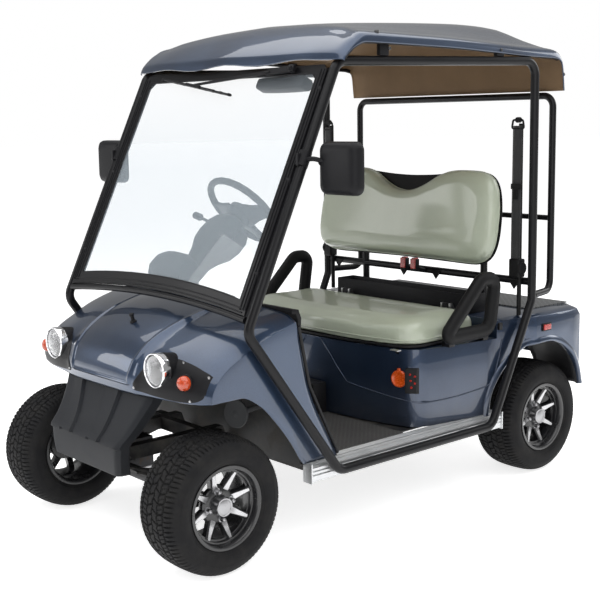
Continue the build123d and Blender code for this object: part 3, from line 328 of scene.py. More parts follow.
def easeThrough(knots, values, t):
    # smooth curve through the knots that never swings past them
    if t <= knots[0]:
        return values[0]
    if t >= knots[-1]:
        return values[-1]
    gaps = [b - a for a, b in zip(knots, knots[1:])]
    rises = [(b - a) / g for a, b, g in zip(values, values[1:], gaps)]
    slopes = [rises[0]]
    for a, b in zip(rises, rises[1:]):
        slopes.append(0.0 if a * b <= 0 else 2 * a * b / (a + b))
    slopes.append(rises[-1])
    i = 0
    while t > knots[i + 1]:
        i += 1
    s = (t - knots[i]) / gaps[i]
    low = (1 + 2 * s) * (1 - s) ** 2 * values[i] + s * (1 - s) ** 2 * gaps[i] * slopes[i]
    high = s * s * (3 - 2 * s) * values[i + 1] + s * s * (s - 1) * gaps[i] * slopes[i + 1]
    return low + high


def easeColumns(knots, points, t):
    return [easeThrough(knots, column, t) for column in zip(*points)]


def pathThrough(points, count):
    # points set evenly along a smooth line through a few given ones
    knots = knotsAlong(points)
    return [easeColumns(knots, points, knots[-1] * i / (count - 1)) for i in range(count)]


def outwardFaces(*shapes):
    for shape in shapes:
        bmesh.ops.recalc_face_normals(shape, faces=shape.faces)


def turnTowards(shape, direction):
    # every face one way, most of them looking along the direction
    outwardFaces(shape)
    if sum(face.normal.dot(direction) * face.calc_area() for face in shape.faces) < 0:
        bmesh.ops.reverse_faces(shape, faces=shape.faces)


def setPiece(name, shape, looks, body="cart", instead=(), smooth=40.0):
    # a finished shape on its body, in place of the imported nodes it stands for; sharper folds stay crisp
    for face in shape.faces:
        face.smooth = True
    for edge in shape.edges:
        if smooth and len(edge.link_faces) == 2:
            edge.smooth = edge.calc_face_angle(0.0) < math.radians(smooth)
    mesh = bpy.data.meshes.new(name)
    shape.to_mesh(mesh)
    shape.free()
    piece = bpy.data.objects.new(name, mesh)
    bpy.context.scene.collection.objects.link(piece)
    for look in looks if isinstance(looks, list) else [looks]:
        mesh.materials.append(look)
    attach(piece, body)
    if instead:
        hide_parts(*instead)
    return piece


def addGrid(shape, rows, aroundRows=False, aroundColumns=False, ends=False):
    # quads over a table of points, with the first and last row filled when asked
    made = [[shape.verts.new(p) for p in row] for row in rows]
    nRows, nColumns = len(rows), len(rows[0])
    for i in range(nRows if aroundRows else nRows - 1):
        for j in range(nColumns if aroundColumns else nColumns - 1):
            k, m = (i + 1) % nRows, (j + 1) % nColumns
            shape.faces.new([made[i][j], made[k][j], made[k][m], made[i][m]])
    if ends:
        shape.faces.new(made[0][::-1])
        shape.faces.new(made[-1])
    return made


def addLoft(shape, rows):
    return addGrid(shape, rows, aroundColumns=True, ends=True)


def addTurned(shape, centre, axis, profile, steps=48):
    # profile of (distance along the axis, radius) pairs, turned once round
    axis = Vector(axis).normalized()
    side = axis.orthogonal().normalized()
    other = axis.cross(side)
    addGrid(shape, [[
        centre + axis * along + (side * math.cos(angle) + other * math.sin(angle)) * max(radius, 1e-5)
        for angle in turnAngles(steps)
    ] for along, radius in profile], aroundColumns=True)


def addPeg(shape, centre, axis, foot, sides, steps):
    # turned peg from its closed foot, which is as wide as the first ring
    addTurned(shape, centre, axis, [(foot, 0.0), (foot, sides[0][1])] + sides, steps)


def addBox(shape, low, high, edgeRound=0.0):
    verts = bmesh.ops.create_cube(shape, size=1.0)["verts"]
    middle, size = (low + high) / 2, high - low
    for vert in verts:
        vert.co = middle + Vector([c * s for c, s in zip(vert.co, size)])
    if edgeRound:
        edges = list({edge for vert in verts for edge in vert.link_edges})
        bmesh.ops.bevel(shape, geom=edges, offset=edgeRound, segments=3, profile=0.6, affect="EDGES",
                        clamp_overlap=True)


def addBlock(shape, sideSign, xs, ys, zs, edgeRound=0.0):
    # box between places in millimetres, on one side of the middle
    x0, x1 = sorted(sideSign * x for x in xs)
    addBox(shape, at(x0, ys[0], zs[0]), at(x1, ys[1], zs[1]), edgeRound)


def addTube(shape, points, radius, sides=16, closed=False):
    # round tube along given points
    rings = []
    count = len(points)
    across = None
    for i, point in enumerate(points):
        before = points[(i - 1) % count] if closed or i > 0 else point
        after = points[(i + 1) % count] if closed or i < count - 1 else point
        along = (after - before).normalized()
        across = across or along.orthogonal().normalized()
        across = (across - along * across.dot(along)).normalized()
        other = along.cross(across)
        size = radius[i] if isinstance(radius, list) else radius
        rings.append([point + (across * math.cos(a) + other * math.sin(a)) * size for a in turnAngles(sides)])
    addGrid(shape, rings, aroundRows=closed, aroundColumns=True, ends=not closed)


def roundedRun(points, bend, steps=7):
    # straight runs joined by arcs
    out = [points[0]]
    for before, corner, after in zip(points, points[1:], points[2:]):
        into = (corner - before).normalized()
        away = (after - corner).normalized()
        turn = into.angle(away)
        if turn < 0.02:
            out.append(corner)
            continue
        reach = min(bend * math.tan(turn / 2), (corner - before).length * 0.49, (after - corner).length * 0.49)
        radius = reach / math.tan(turn / 2)
        normal = (away - into * away.dot(into)).normalized()
        centre = corner - into * reach + normal * radius
        for k in range(steps + 1):
            angle = turn * k / steps
            out.append(centre + (into * math.sin(angle) - normal * math.cos(angle)) * radius)
    out.append(points[-1])
    return out


def thicken(piece, amount, insideLook=0):
    solid = piece.modifiers.new("wall", "SOLIDIFY")
    solid.thickness = amount
    solid.offset = -1.0
    solid.use_even_offset = True
    solid.material_offset = insideLook


def wear(look, *names, bevel=0.0):
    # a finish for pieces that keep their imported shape
    for name in names:
        piece = nodes[name]
        piece.data.materials.clear()
        piece.data.materials.append(look)
        piece.modifiers.new("weld", "WELD").merge_threshold = 0.00002
        if bevel:
            edge = piece.modifiers.new("edges", "BEVEL")
            edge.width = bevel
            edge.segments = 2
            edge.limit_method = "ANGLE"
            edge.angle_limit = math.radians(32)
        for face in piece.data.polygons:
            face.use_smooth = True
        crisp = piece.modifiers.new("crisp", "EDGE_SPLIT")
        crisp.split_angle = math.radians(38)
        crisp.use_edge_sharp = False


# camera
view = {
    # place in metres, angles in degrees, focal length and frame in pixels
    "place": (3.3514, -2.0982 + axleY, 1.4653), "azimuth": 49.03, "height": 8.25, "roll": -0.82, "focal": 1121.67,
    "shift": (-0.0011, -0.0253), "sensor": 36.0, "frame": 600.0,
}


def addObject(name, data):
    made = bpy.data.objects.new(name, data)
    bpy.context.scene.collection.objects.link(made)
    return made


def makeCamera():
    azimuth, height, roll = (math.radians(view[key]) for key in ("azimuth", "height", "roll"))
    back = Vector((math.sin(azimuth) * math.cos(height), -math.cos(azimuth) * math.cos(height), math.sin(height)))
    rightward = Vector((math.cos(azimuth), math.sin(azimuth), 0))
    upward = back.cross(rightward)
    tiltedRight = rightward * math.cos(roll) + upward * math.sin(roll)
    tiltedUp = upward * math.cos(roll) - rightward * math.sin(roll)
    data = bpy.data.cameras.new("viewCamera")
    data.sensor_width = view["sensor"]
    data.lens = view["focal"] * view["sensor"] / view["frame"]
    data.shift_x, data.shift_y = view["shift"]
    camera = addObject("viewCamera", data)
    turned = Matrix((tiltedRight, tiltedUp, back)).transposed().to_4x4()
    camera.matrix_world = Matrix.Translation(view["place"]) @ turned
    bpy.context.scene.camera = camera


# studio
studio = {"floor": 0.9, "reach": 70.0, "lift": 0.76, "world": 0.31, "lamps": [
    # name, place, aim, width, length, watts
    ("topSoft", (0.4, -0.3, 4.6), (0, 0, 0.6), 7.5, 7.5, 330),
    ("frontSoft", (4.8, -3.4, 2.6), (0, -0.2, 0.7), 4.2, 3.2, 76),
    ("sideSoft", (-3.6, -4.4, 2.4), (0, -0.4, 0.7), 2.6, 2.2, 60),
    ("rearSoft", (1.5, 5.2, 3.0), (0, 0, 0.9), 3.0, 2.0, 60),
]}


def paleGround():
    # pale stage that reads as white to the eye and keeps the shadow
    level, lift = studio["floor"], studio["lift"]
    f = Finish("paleFloor", Roughness=0.95, Specular_IOR_Level=0.0)
    seen, glossy, through = (f.node("ShaderNodeLightPath", out="Is " + kind + " Ray")
                             for kind in ("Camera", "Glossy", "Transmission"))
    f.feed("Base Color", f.mix(f.noise(0.8, 2.0), (level,) * 3, (level + 0.02,) * 3))
    f.feed("Emission Strength", 1.0)
    f.feed("Emission Color", f.mix(f.maths("ADD", seen, glossy + through, clamp=True), (0.0,) * 3, (lift,) * 3))
    return f.material


def makeStage():
    shape = bmesh.new()
    reach = studio["reach"]
    addGrid(shape, [[Vector((x, y, 0)) for x in (-reach, 0.0, reach)] for y in (reach, 0.0, -reach)])
    mesh = bpy.data.meshes.new("floor")
    shape.to_mesh(mesh)
    shape.free()
    mesh.materials.append(paleGround())
    addObject("floor", mesh)


def makeSky():
    # white to the eye and through glass, dimmer as a light
    world = bpy.data.worlds.new("studioWorld")
    world.use_nodes = True
    bpy.context.scene.world = world
    tree = world.node_tree
    sky = tree.nodes["Background"]
    rays = tree.nodes.new("ShaderNodeLightPath")
    seen = tree.nodes.new("ShaderNodeMath")
    seen.operation = "MAXIMUM"
    strength = tree.nodes.new("ShaderNodeMix")
    strength.data_type = "FLOAT"
    strength.inputs[2].default_value = studio["world"]
    strength.inputs[3].default_value = 1.0
    tree.links.new(rays.outputs["Is Camera Ray"], seen.inputs[0])
    tree.links.new(rays.outputs["Is Transmission Ray"], seen.inputs[1])
    tree.links.new(seen.outputs[0], strength.inputs[0])
    tree.links.new(strength.outputs[0], sky.inputs["Strength"])
    sky.inputs["Color"].default_value = (1, 1, 1, 1)


def makeLights():
    for name, place, aim, wide, long, watts in studio["lamps"]:
        lamp = bpy.data.lights.new(name, "AREA")
        lamp.shape = "RECTANGLE"
        lamp.size, lamp.size_y, lamp.energy = wide, long, watts
        holder = addObject(name, lamp)
        holder.location = place
        holder.rotation_euler = (Vector(aim) - Vector(place)).to_track_quat("-Z", "Y").to_euler()


makeCamera()
makeStage()
makeSky()
makeLights()
bpy.context.scene.view_settings.view_transform = "Standard"
print("camera and studio ready")


# wheels
wheel = {
    "radius": 0.2326, "groove": 0.0062, "steps": 528, "wallRings": 14, "treadRings": 52, "pitches": 44, "spokes": 8,
    "axleX": (468, 478), "rearY": 1648, "height": 233,
    # distance across the tyre, radius
    "tread": [(0.086, 0.1273), (0.0862, 0.134), (0.088, 0.1425), (0.095, 0.15), (0.1003, 0.16), (0.1022, 0.174),
              (0.1016, 0.186), (0.099, 0.198), (0.0945, 0.2085), (0.0895, 0.216), (0.083, 0.2215), (0.07, 0.2272),
              (0.045, 0.231), (0.0, 0.2326)],
    "rings": ((0.1545, 0.0008), (0.1905, 0.0009)), "plain": 0.52,
    # barrel from the inner lip to the outer lip and back
    "rim": [(-0.092, 0.1408), (-0.086, 0.1408), (-0.086, 0.127), (0.086, 0.127), (0.086, 0.1402), (0.089, 0.1409),
            (0.092, 0.1402), (0.092, 0.1345), (0.09, 0.129), (0.086, 0.1262), (0.078, 0.1238), (0.07, 0.1228),
            (0.069, 0.118), (0.056, 0.1172), (0.055, 0.112), (0.03, 0.1112), (0.018, 0.119), (-0.08, 0.121),
            (-0.087, 0.125), (-0.092, 0.133), (-0.092, 0.1408)],
    # dished centre behind the spokes
    "dish": [(0.02, 0.015), (0.018, 0.062), (0.026, 0.066), (0.04, 0.064), (0.046, 0.056), (0.047, 0.033),
             (0.058, 0.032), (0.058, 0.015), (0.02, 0.015)],
    # reach, half width, front, rear of the black spoke and of its bright face
    "backing": ((0.05, 0.015, 0.045, 0.022), (0.075, 0.0125, 0.05, 0.026), (0.1, 0.011, 0.056, 0.032),
                (0.12, 0.012, 0.0625, 0.034)),
    "bright": ((0.0535, 0.0112, 0.0462), (0.0545, 0.0118, 0.0472), (0.078, 0.0092, 0.052), (0.102, 0.007, 0.058),
               (0.1165, 0.0052, 0.0626), (0.118, 0.0042, 0.0618)),
    "cap": [(0.044, 0.02), (0.044, 0.0345), (0.0475, 0.0352), (0.052, 0.0338), (0.056, 0.033), (0.07, 0.0326),
            (0.076, 0.0318), (0.0785, 0.03), (0.078, 0.0262), (0.0765, 0.025), (0.0772, 0.0235), (0.0785, 0.0)],
    "marks": 16, "mark": [(0.0002, 0.0026), (0.0012, 0.002), (0.0014, 0.0)], "nuts": 4, "nutCircle": 0.048,
    "nutSeat": [(0.044, 0.012), (0.047, 0.0118), (0.0472, 0.01), (0.0472, 0.0)],
    "nut": [(0.044, 0.0092), (0.06, 0.0092), (0.064, 0.0074), (0.0665, 0.004), (0.0672, 0.0)],
}


def triangle(t):
    return abs((t % 1.0) * 2 - 1) * 2 - 1


def inGroove(distance, width, edge=0.0011):
    # 1 in the middle of a groove, 0 outside it, with steep walls
    return min(1.0, max(0.0, (width / 2 + edge - abs(distance)) / edge))


def treadDepth(across, turn):
    # how deep the tread is cut there; turn is in pitches round the tyre
    side = abs(across)
    if side > 0.0955:
        return 0.0
    sway = 0.0036 * triangle(turn + 0.25)
    swayWide = 0.003 * triangle(turn + 0.75)
    pitch = 2 * math.pi * wheel["radius"] / wheel["pitches"]
    phase = turn + (0.5 if across > 0 else 0.0)

    def toGroove(place, share=1):
        return (place % 1.0 - 0.5) * pitch * share

    cuts = [inGroove(across - sway * 0.8, 0.003), inGroove(side - 0.027 - swayWide * 0.8, 0.0044),
            inGroove(side - 0.056 - sway * 0.6, 0.0044)]
    if side < 0.027:
        cuts.append(inGroove(toGroove(phase - side * 14), 0.0036) * 0.9)
    elif side < 0.056:
        cuts.append(inGroove(toGroove(phase + 0.25 + side * 10), 0.0038) * 0.95)
        cuts.append(inGroove(toGroove(phase + 0.75 + side * 10), 0.0012, 0.0009) * 0.5)
    else:
        fade = min(1.0, max(0.0, (0.095 - side) / 0.012))
        cuts.append(inGroove(toGroove(phase * 2 + 0.3 + side * 6, 0.5), 0.003) * 0.85 * fade)
    return max(cuts) * wheel["groove"]


def makeTyre(code, centre, body):
    shape = bmesh.new()
    tread, plain = wheel["tread"], wheel["plain"]
    knots = knotsAlong(tread)
    # few rings up the side wall, many over the tread
    few, many = wheel["wallRings"], wheel["treadRings"]
    stations = [plain * i / few for i in range(few)] + [plain + (1 - plain) * i / many for i in range(many + 1)]
    half = [easeColumns(knots, tread, knots[-1] * share) for share in stations]
    rows = []
    for across, radius in [(-x, r) for x, r in half] + half[-2::-1]:
        row = []
        for k, angle in enumerate(turnAngles(wheel["steps"])):
            low = treadDepth(across, k * wheel["pitches"] / wheel["steps"])
            drawn = abs(across) - (low * 0.25 if abs(across) > 0.08 else 0.0)
            reach = radius - low
            place = (math.copysign(drawn, across), math.cos(angle) * reach, math.sin(angle) * reach)
            row.append(centre + Vector(place))
        rows.append(row)
    addGrid(shape, rows, aroundColumns=True)
    # two fine rings on each side wall, and the bead closed on the inside
    for sideSign in bothSides:
        for ring, proud in wheel["rings"]:
            wall = easeThrough([p[1] for p in tread], [p[0] for p in tread], ring)
            foot, top = sideSign * (wall - 0.0012), sideSign * (wall + proud * 0.4)
            profile = [(foot, ring - 0.0016), (top, ring - 0.0008), (top, ring + 0.0008), (foot, ring + 0.0016)]
            addTurned(shape, centre, (1, 0, 0), profile, 96)
    addTurned(shape, centre, (1, 0, 0), [(-0.086, 0.1273), (0.0, 0.1274), (0.086, 0.1273)], 96)
    bmesh.ops.reverse_faces(shape, faces=shape.faces)
    setPiece("tyreTread_" + code, shape, rubber, body, ("tyre_" + code,), 42)


def makeRim(code, centre, outward, body):
    shape, faces, cap = bmesh.new(), bmesh.new(), bmesh.new()
    side = Vector((outward, 0, 0))
    addTurned(shape, centre, side, wheel["rim"], 96)
    addTurned(shape, centre, side, wheel["dish"], 64)
    for angle in turnAngles(wheel["spokes"], 0.35):
        out = Vector((0, math.cos(angle), math.sin(angle)))
        across = side.cross(out)

        def spokeRow(reach, places):
            return [centre + out * reach + across * offset + side * depth for offset, depth in places]

        # black backing of the spoke, and the bright machined face on it
        addGrid(shape, [spokeRow(reach, (
            (-wide, rear), (-wide, front - 0.004), (-wide + 0.003, front),
            (wide - 0.003, front), (wide, front - 0.004), (wide, rear)
        )) for reach, wide, front, rear in wheel["backing"]], aroundColumns=True)
        addGrid(faces, [spokeRow(reach, (
            (-wide, front - 0.003), (-wide + 0.001, front + 0.0004),
            (wide - 0.001, front + 0.0004), (wide, front - 0.003)
        )) for reach, wide, front in wheel["bright"]], aroundColumns=True)
    # centre cap with its fine marks, and the wheel nuts
    addTurned(cap, centre, side, wheel["cap"], 64)
    for angle in turnAngles(wheel["marks"]):
        out = Vector((0, math.cos(angle), math.sin(angle)))
        addTurned(cap, centre + out * 0.0318 + side * 0.064, out, wheel["mark"], 10)
    for angle in turnAngles(wheel["nuts"], 0.1):
        nutAt = centre + Vector((0, math.cos(angle), math.sin(angle))) * wheel["nutCircle"]
        addTurned(cap, nutAt, side, wheel["nutSeat"], 24)
        addTurned(cap, nutAt, side, wheel["nut"], 6)
    outwardFaces(shape, faces, cap)
    setPiece("rimBarrel_" + code, shape, gloss, body, ("rim_" + code,), 35)
    setPiece("rimSpokes_" + code, faces, alloyFace, body, smooth=35)
    setPiece("hubCap_" + code, cap, capMetal, body, smooth=32)


for endCode, endY, axleX in (("f", 0, wheel["axleX"][0]), ("r", wheel["rearY"], wheel["axleX"][1])):
    for sideCode, outward in (("l", 1), ("r", -1)):
        code = endCode + sideCode
        centre = at(outward * axleX, endY, wheel["height"])
        makeTyre(code, centre, "wheel_" + code)
        makeRim(code, centre, outward, "wheel_" + code)
print("wheels ready")


# cowl
cowl = {
    "wall": 0.004, "side": 545.0, "rows": 56, "ridgeAt": 216.0, "ridgeWide": 7.5, "ridgeHigh": 6.0, "ridgeLow": 0.11,
    "ridgeShares": (0.08, 0.2, 0.43, 0.57, 0.71), "ridgePlaces": (180.0, 186.0, 200.0, 214.0, 224.0),
    "extraShares": (0.085, 0.095, 0.103, 0.11, 0.117, 0.125, 0.135), "edgeRound": 0.011,
    "across": (545, 536, 522, 504, 480, 450, 415, 375, 335, 300, 275, 258, 246, 239, 233, 228, 224, 220, 216, 212,
               208, 204, 199, 192, 180, 160, 132, 100, 66, 33),
    # place across, then the skin's line from the lip up to the windscreen
    "lines": [
        (0, [(-122, 570), (-128, 616), (-114, 672), (-66, 732), (30, 789), (120, 822), (220, 845), (315, 858)]),
        (110, [(-121, 570), (-126, 615), (-112, 670), (-64, 729), (32, 786), (120, 819), (220, 842), (315, 855)]),
        (215, [(-114, 570), (-118, 612), (-104, 664), (-53, 724), (36, 777), (120, 809), (220, 833), (315, 848)]),
        (240, [(-110, 571), (-111, 611), (-95, 662), (-46, 717), (40, 766), (122, 798), (220, 824), (315, 842)]),
        (330, [(-101, 573), (-102, 611), (-85, 663), (-36, 719), (50, 764), (130, 795), (220, 820), (315, 838)]),
        (430, [(-81, 573), (-82, 608), (-65, 656), (-17, 708), (60, 752), (136, 786), (222, 812), (315, 832)]),
        (500, [(-60, 574), (-60, 606), (-44, 650), (0, 698), (70, 738), (142, 774), (224, 802), (315, 824)]),
        (545, [(-40, 580), (-38, 604), (-20, 640), (20, 680), (84, 716), (150, 748), (228, 776), (316, 802)]),
    ],
    "front": [(-40, 580), (76, 581), (150, 545), (215, 480), (285, 390), (330, 318), (342, 303.5)],
    "rear": [(316, 802), (321, 780), (365, 576), (498, 303.5)],
    "pegAt": (24, 8, 780),
    "peg": [(0.002, 0.012), (0.004, 0.007), (0.02, 0.0065), (0.021, 0.0085), (0.028, 0.0085), (0.03, 0.006),
            (0.03, 0.0)],
}


def rowPoint(lines, x, share):
    # point of the skin at that place across and share of the way along its lines
    found = []
    for _, points in lines:
        last = len(points) - 1
        found.append(easeColumns([i / last for i in range(last + 1)], points, share))
    return easeColumns([station for station, _ in lines], found, abs(x))


def mirrored(widths):
    return [-w for w in widths] + [0] + list(widths[::-1])


def cowlPoint(column, share):
    # skin with the raised ridge that frames the middle of the bonnet, its columns drawn in with the ridge
    ridge = easeThrough(cowl["ridgeShares"], cowl["ridgePlaces"], share)
    reach, middle, side = abs(column), cowl["ridgeAt"], cowl["side"]
    x = reach * ridge / middle if reach < middle else ridge + (reach - middle) * (side - ridge) / (side - middle)
    x = math.copysign(x, column)
    y, z = rowPoint(cowl["lines"], x, share)
    yNext, zNext = rowPoint(cowl["lines"], x, min(1.0, share + 0.01))
    yLast, zLast = rowPoint(cowl["lines"], x, max(0.0, share - 0.01))
    length = math.hypot(yNext - yLast, zNext - zLast) or 1.0
    aside = (reach - middle) / cowl["ridgeWide"]
    below = (share - cowl["ridgeLow"]) / 0.014
    lift = math.exp(-aside * aside) * min(1.0, max(0.0, (share - cowl["ridgeLow"]) / 0.02 + 1.0))
    if reach < middle:
        lift = max(lift, math.exp(-below * below))
    lift *= cowl["ridgeHigh"]
    return at(x, y - lift * (zNext - zLast) / length, z + lift * (yNext - yLast) / length)


def cowlFace(x, z, proud, sideSign=1):
    # point of the front face at that place across and height, a little proud of it
    low, high = 0.0, 0.7
    for _ in range(26):
        middle = (low + high) / 2
        if rowPoint(cowl["lines"], x, middle)[1] < z:
            low = middle
        else:
            high = middle
    return at(sideSign * x, rowPoint(cowl["lines"], x, low)[0] - proud, z)


def makeCowl():
    shape = bmesh.new()
    shares = sorted({i / (cowl["rows"] - 1) for i in range(cowl["rows"])} | set(cowl["extraShares"]))
    table = [[cowlPoint(x, share) for x in mirrored(cowl["across"])] for share in shares]
    addGrid(shape, table)
    for sideSign in bothSides:
        edge = [line[0] if sideSign < 0 else line[-1] for line in table]
        upper = edge + [at(sideSign * cowl["side"], *p) for p in pathThrough(cowl["rear"], 16)][1:]
        lower = [at(sideSign * cowl["side"], *p) for p in pathThrough(cowl["front"], len(upper))]
        rows = [[a.lerp(b, step / 8) for a, b in zip(upper, lower)] for step in range(9)]
        addGrid(shape, rows[::-1] if sideSign < 0 else rows)
    bmesh.ops.remove_doubles(shape, verts=shape.verts, dist=0.0004)
    bmesh.ops.delete(shape, geom=[f for f in shape.faces if f.calc_area() < 1e-9], context="FACES")
    turnTowards(shape, Vector((0, 0, 1)))
    # soft corner between the bonnet and each side
    corner = [
        e for e in shape.edges if len(e.link_faces) == 2 and e.calc_face_angle(0) > math.radians(35)
        and min(abs(v.co.x) for v in e.verts) > 0.5
    ]
    bmesh.ops.bevel(shape, geom=corner, offset=cowl["edgeRound"], segments=4, profile=0.5, affect="EDGES",
                    clamp_overlap=True)
    piece = setPiece("cowlSkin", shape, [paint, blackPlastic], instead=("front_cowl",), smooth=55)
    thicken(piece, cowl["wall"], 1)
    peg = bmesh.new()
    addPeg(peg, at(*cowl["pegAt"]), (0, -0.25, 0.97), -0.006, cowl["peg"], 24)
    outwardFaces(peg)
    setPiece("cowlPeg", peg, blackPlastic)


makeCowl()
print("cowl ready")


# lamps
headlamp = {
    "place": (331.0, -106.0, 669.0), "size": 0.855, "lens": 0.0606, "bulge": 0.0125, "flute": 0.0006,
    "fluteGap": 0.0095,
    # distance forward, radius
    "bezel": ((-0.02, 0.0655), (-0.02, 0.0672), (-0.006, 0.0682), (0.006, 0.0682), (0.0095, 0.0676), (0.0115, 0.0656),
              (0.0112, 0.0636), (0.0092, 0.0622), (0.007, 0.0616), (0.001, 0.062)),
    "bowl": ((0.002, 0.0632), (-0.002, 0.06), (-0.015, 0.052), (-0.028, 0.04), (-0.037, 0.022),
             (-0.0385, 0.012), (-0.025, 0.0105), (-0.018, 0.01), (-0.016, 0.0)),
    "bucket": ((0.006, 0.03), (0.006, 0.066), (0.018, 0.0665), (0.038, 0.064), (0.075, 0.058), (0.11, 0.045),
               (0.112, 0.0)),
}
lampPlate = {
    "proud": 3.0, "steps": (32, 12),
    # x, low z, high z
    "columns": [(206, 588, 606), (222, 584, 630), (250, 583, 676), (285, 581, 700), (331, 579, 706), (372, 577, 704),
                (410, 576, 698), (450, 577, 690), (486, 582, 680), (512, 594, 671), (524, 610, 664)],
    "screws": [(214, 594), (400, 696), (516, 662), (470, 584)],
    "screw": [(-0.002, 0.0), (-0.002, 0.0045), (0.0012, 0.0042), (0.0022, 0.0026), (0.0022, 0.0014), (0.0014, 0.0)],
}
signals = {
    "turnLamp": (446.0, 640.0), "seat": [(0.003, 0.029), (0.005, 0.027), (0.005, 0.0)],
    "dome": [(0.012, 0.0246), (0.02, 0.0215), (0.026, 0.015), (0.0285, 0.0075), (0.029, 0.0)],
    # x, y and z spans and edge round of the seats and lamps at the rear
    "seats": [((603.5, 606.5), (1586, 1644), (608, 640), 0.0012), ((426, 514), (1904, 1917), (554, 606), 0.0012)],
    "reds": [((606.0, 611.5), (1592, 1638), (613, 635), 0.0022), ((431, 509), (1910, 1931), (559, 601), 0.005)],
}


def lampTurned(shape, sideSign, part, forward, steps=48):
    x, y, z = headlamp["place"]
    profile = [(along, radius * headlamp["size"]) for along, radius in headlamp[part]]
    addTurned(shape, at(sideSign * x, y, z), (0, forward, 0), profile, steps)


def makeLampPlates():
    shape, screws = bmesh.new(), bmesh.new()
    columns = lampPlate["columns"]
    knots = [column[0] for column in columns]
    last, high = lampPlate["steps"]
    for sideSign in bothSides:
        rows = []
        for i in range(last + 1):
            x, bottom, top = easeColumns(knots, columns, knots[0] + (knots[-1] - knots[0]) * i / last)
            rows.append([
                cowlFace(x, bottom + (top - bottom) * j / high,
                         lampPlate["proud"] - (0.0 if min(j, high - j, i, last - i) else 2.5), sideSign)
                for j in range(high + 1)
            ])
        addGrid(shape, rows if sideSign > 0 else rows[::-1])
        # small bucket behind the lamp
        lampTurned(shape, sideSign, "bucket", 1)
        for x, z in lampPlate["screws"]:
            place = cowlFace(x, z, lampPlate["proud"], sideSign)
            addTurned(screws, place, (sideSign * 0.25, -0.95, 0.1), lampPlate["screw"], 14)
    outwardFaces(screws)
    setPiece("lampPlates", shape, blackPlastic, instead=("lamp_pods",), smooth=50)
    setPiece("lampPlateScrews", screws, steel)


def makeHeadlamps():
    bezel, cover, bowl = bmesh.new(), bmesh.new(), bmesh.new()
    for sideSign in bothSides:
        x, y, z = headlamp["place"]
        centre = at(sideSign * x, y, z)
        lampTurned(bezel, sideSign, "bezel", -1, 96)
        lampTurned(bowl, sideSign, "bowl", -1)
        # bulged lens with upright flutes
        rows = []
        for share in (i / 14 for i in range(15)):
            reach = headlamp["lens"] * headlamp["size"] * share
            row = []
            for angle in turnAngles(96):
                flute = math.cos(2 * math.pi * math.cos(angle) * reach / headlamp["fluteGap"]) * (1 - share ** 4)
                proud = 0.005 + headlamp["bulge"] * (1 - share ** 2) + headlamp["flute"] * flute
                row.append(centre + Vector((math.cos(angle) * reach, -proud, math.sin(angle) * reach)))
            rows.append(row)
        addGrid(cover, rows, aroundColumns=True)
    bmesh.ops.remove_doubles(cover, verts=cover.verts, dist=0.00008)
    outwardFaces(bezel, cover, bowl)
    setPiece("headlampBezels", bezel, chrome, instead=("headlamps",), smooth=35)
    setPiece("headlampBowls", bowl, bowlSilver, smooth=50)
    thicken(setPiece("headlampLenses", cover, lens, smooth=0), 0.0025)


def makeSignalLamps():
    domes, seats, reds = bmesh.new(), bmesh.new(), bmesh.new()
    for sideSign in bothSides:
        centre = cowlFace(*signals["turnLamp"], lampPlate["proud"], sideSign)
        outward = (sideSign * 0.3, -0.94, 0.12)
        addPeg(seats, centre, outward, -0.01, signals["seat"], 40)
        addTurned(domes, centre, outward, [(0.004, 0.0), (0.004, 0.025)] + signals["dome"], 40)
        for shape, key in ((seats, "seats"), (reds, "reds")):
            for block in signals[key]:
                addBlock(shape, sideSign, *block)
    outwardFaces(domes, seats, reds)
    setPiece("signalSeats", seats, blackPlastic, instead=("signal_lamps",))
    setPiece("turnDomes", domes, amber)
    setPiece("redLamps", reds, red)


makeLampPlates()
makeHeadlamps()
makeSignalLamps()
print("lamps ready")


# front skirt
skirt = {
    "wall": 0.004, "lapDeep": 12.0, "lapWide": 0.34, "setBack": 7.0, "lip": 393.0, "columns": 44,
    # where the two laps stand in the columns, and their share of the half width at the low line and at the top
    "laps": ((-0.38, (-0.281, -0.482)), (0.44, (0.491, 0.38))), "lapHeights": (397.0, 558.0),
    # height, half width, depth of the front at the middle, depth at the corners
    "rows": [(300, 217, -201, -202), (330, 221, -205, -206), (370, 225, -207, -208), (397, 228, -206, -207),
             (440, 238, -174, -172), (480, 249, -147, -142), (520, 262, -125, -117), (558, 275, -106, -98),
             (586, 280, -97, -88)],
    "levels": (300, 306, 318, 334, 352, 370, 384, 389, 393, 397, 401, 405, 412, 425, 440, 460, 480, 500, 520, 540,
               556, 570, 586),
}


def skirtColumn(share, z):
    # columns lean with the two laps
    spots = [-1.0] + [lap[0] for lap in skirt["laps"]] + [1.0]
    ends = [-1.0] + [easeThrough(skirt["lapHeights"], lap[1], z) for lap in skirt["laps"]] + [1.0]
    i = 0 if share <= spots[1] else 1 if share <= spots[2] else 2
    return ends[i] + (ends[i + 1] - ends[i]) * (share - spots[i]) / (spots[i + 1] - spots[i])


def skirtFront(share, z, middle, corner):
    # flat front of three panels, each one standing proud of the next
    y = middle + (corner - middle) * abs(share) ** 2.4
    edge = skirt["lip"] + (8.0 if -0.7 < share <= -0.38 or 0.06 < share <= 0.44 else 0.0)
    above = min(1.0, max(0.0, (z - edge) / 4.0))
    for spot, _ in skirt["laps"]:
        past = (spot - share) / skirt["lapWide"]
        if 0.0 <= past <= 1.0:
            y -= skirt["lapDeep"] * (1.0 - past) * above
    return y + skirt["setBack"] * (1.0 - above) + 14.0 * max(0.0, abs(share) - 0.94) / 0.06


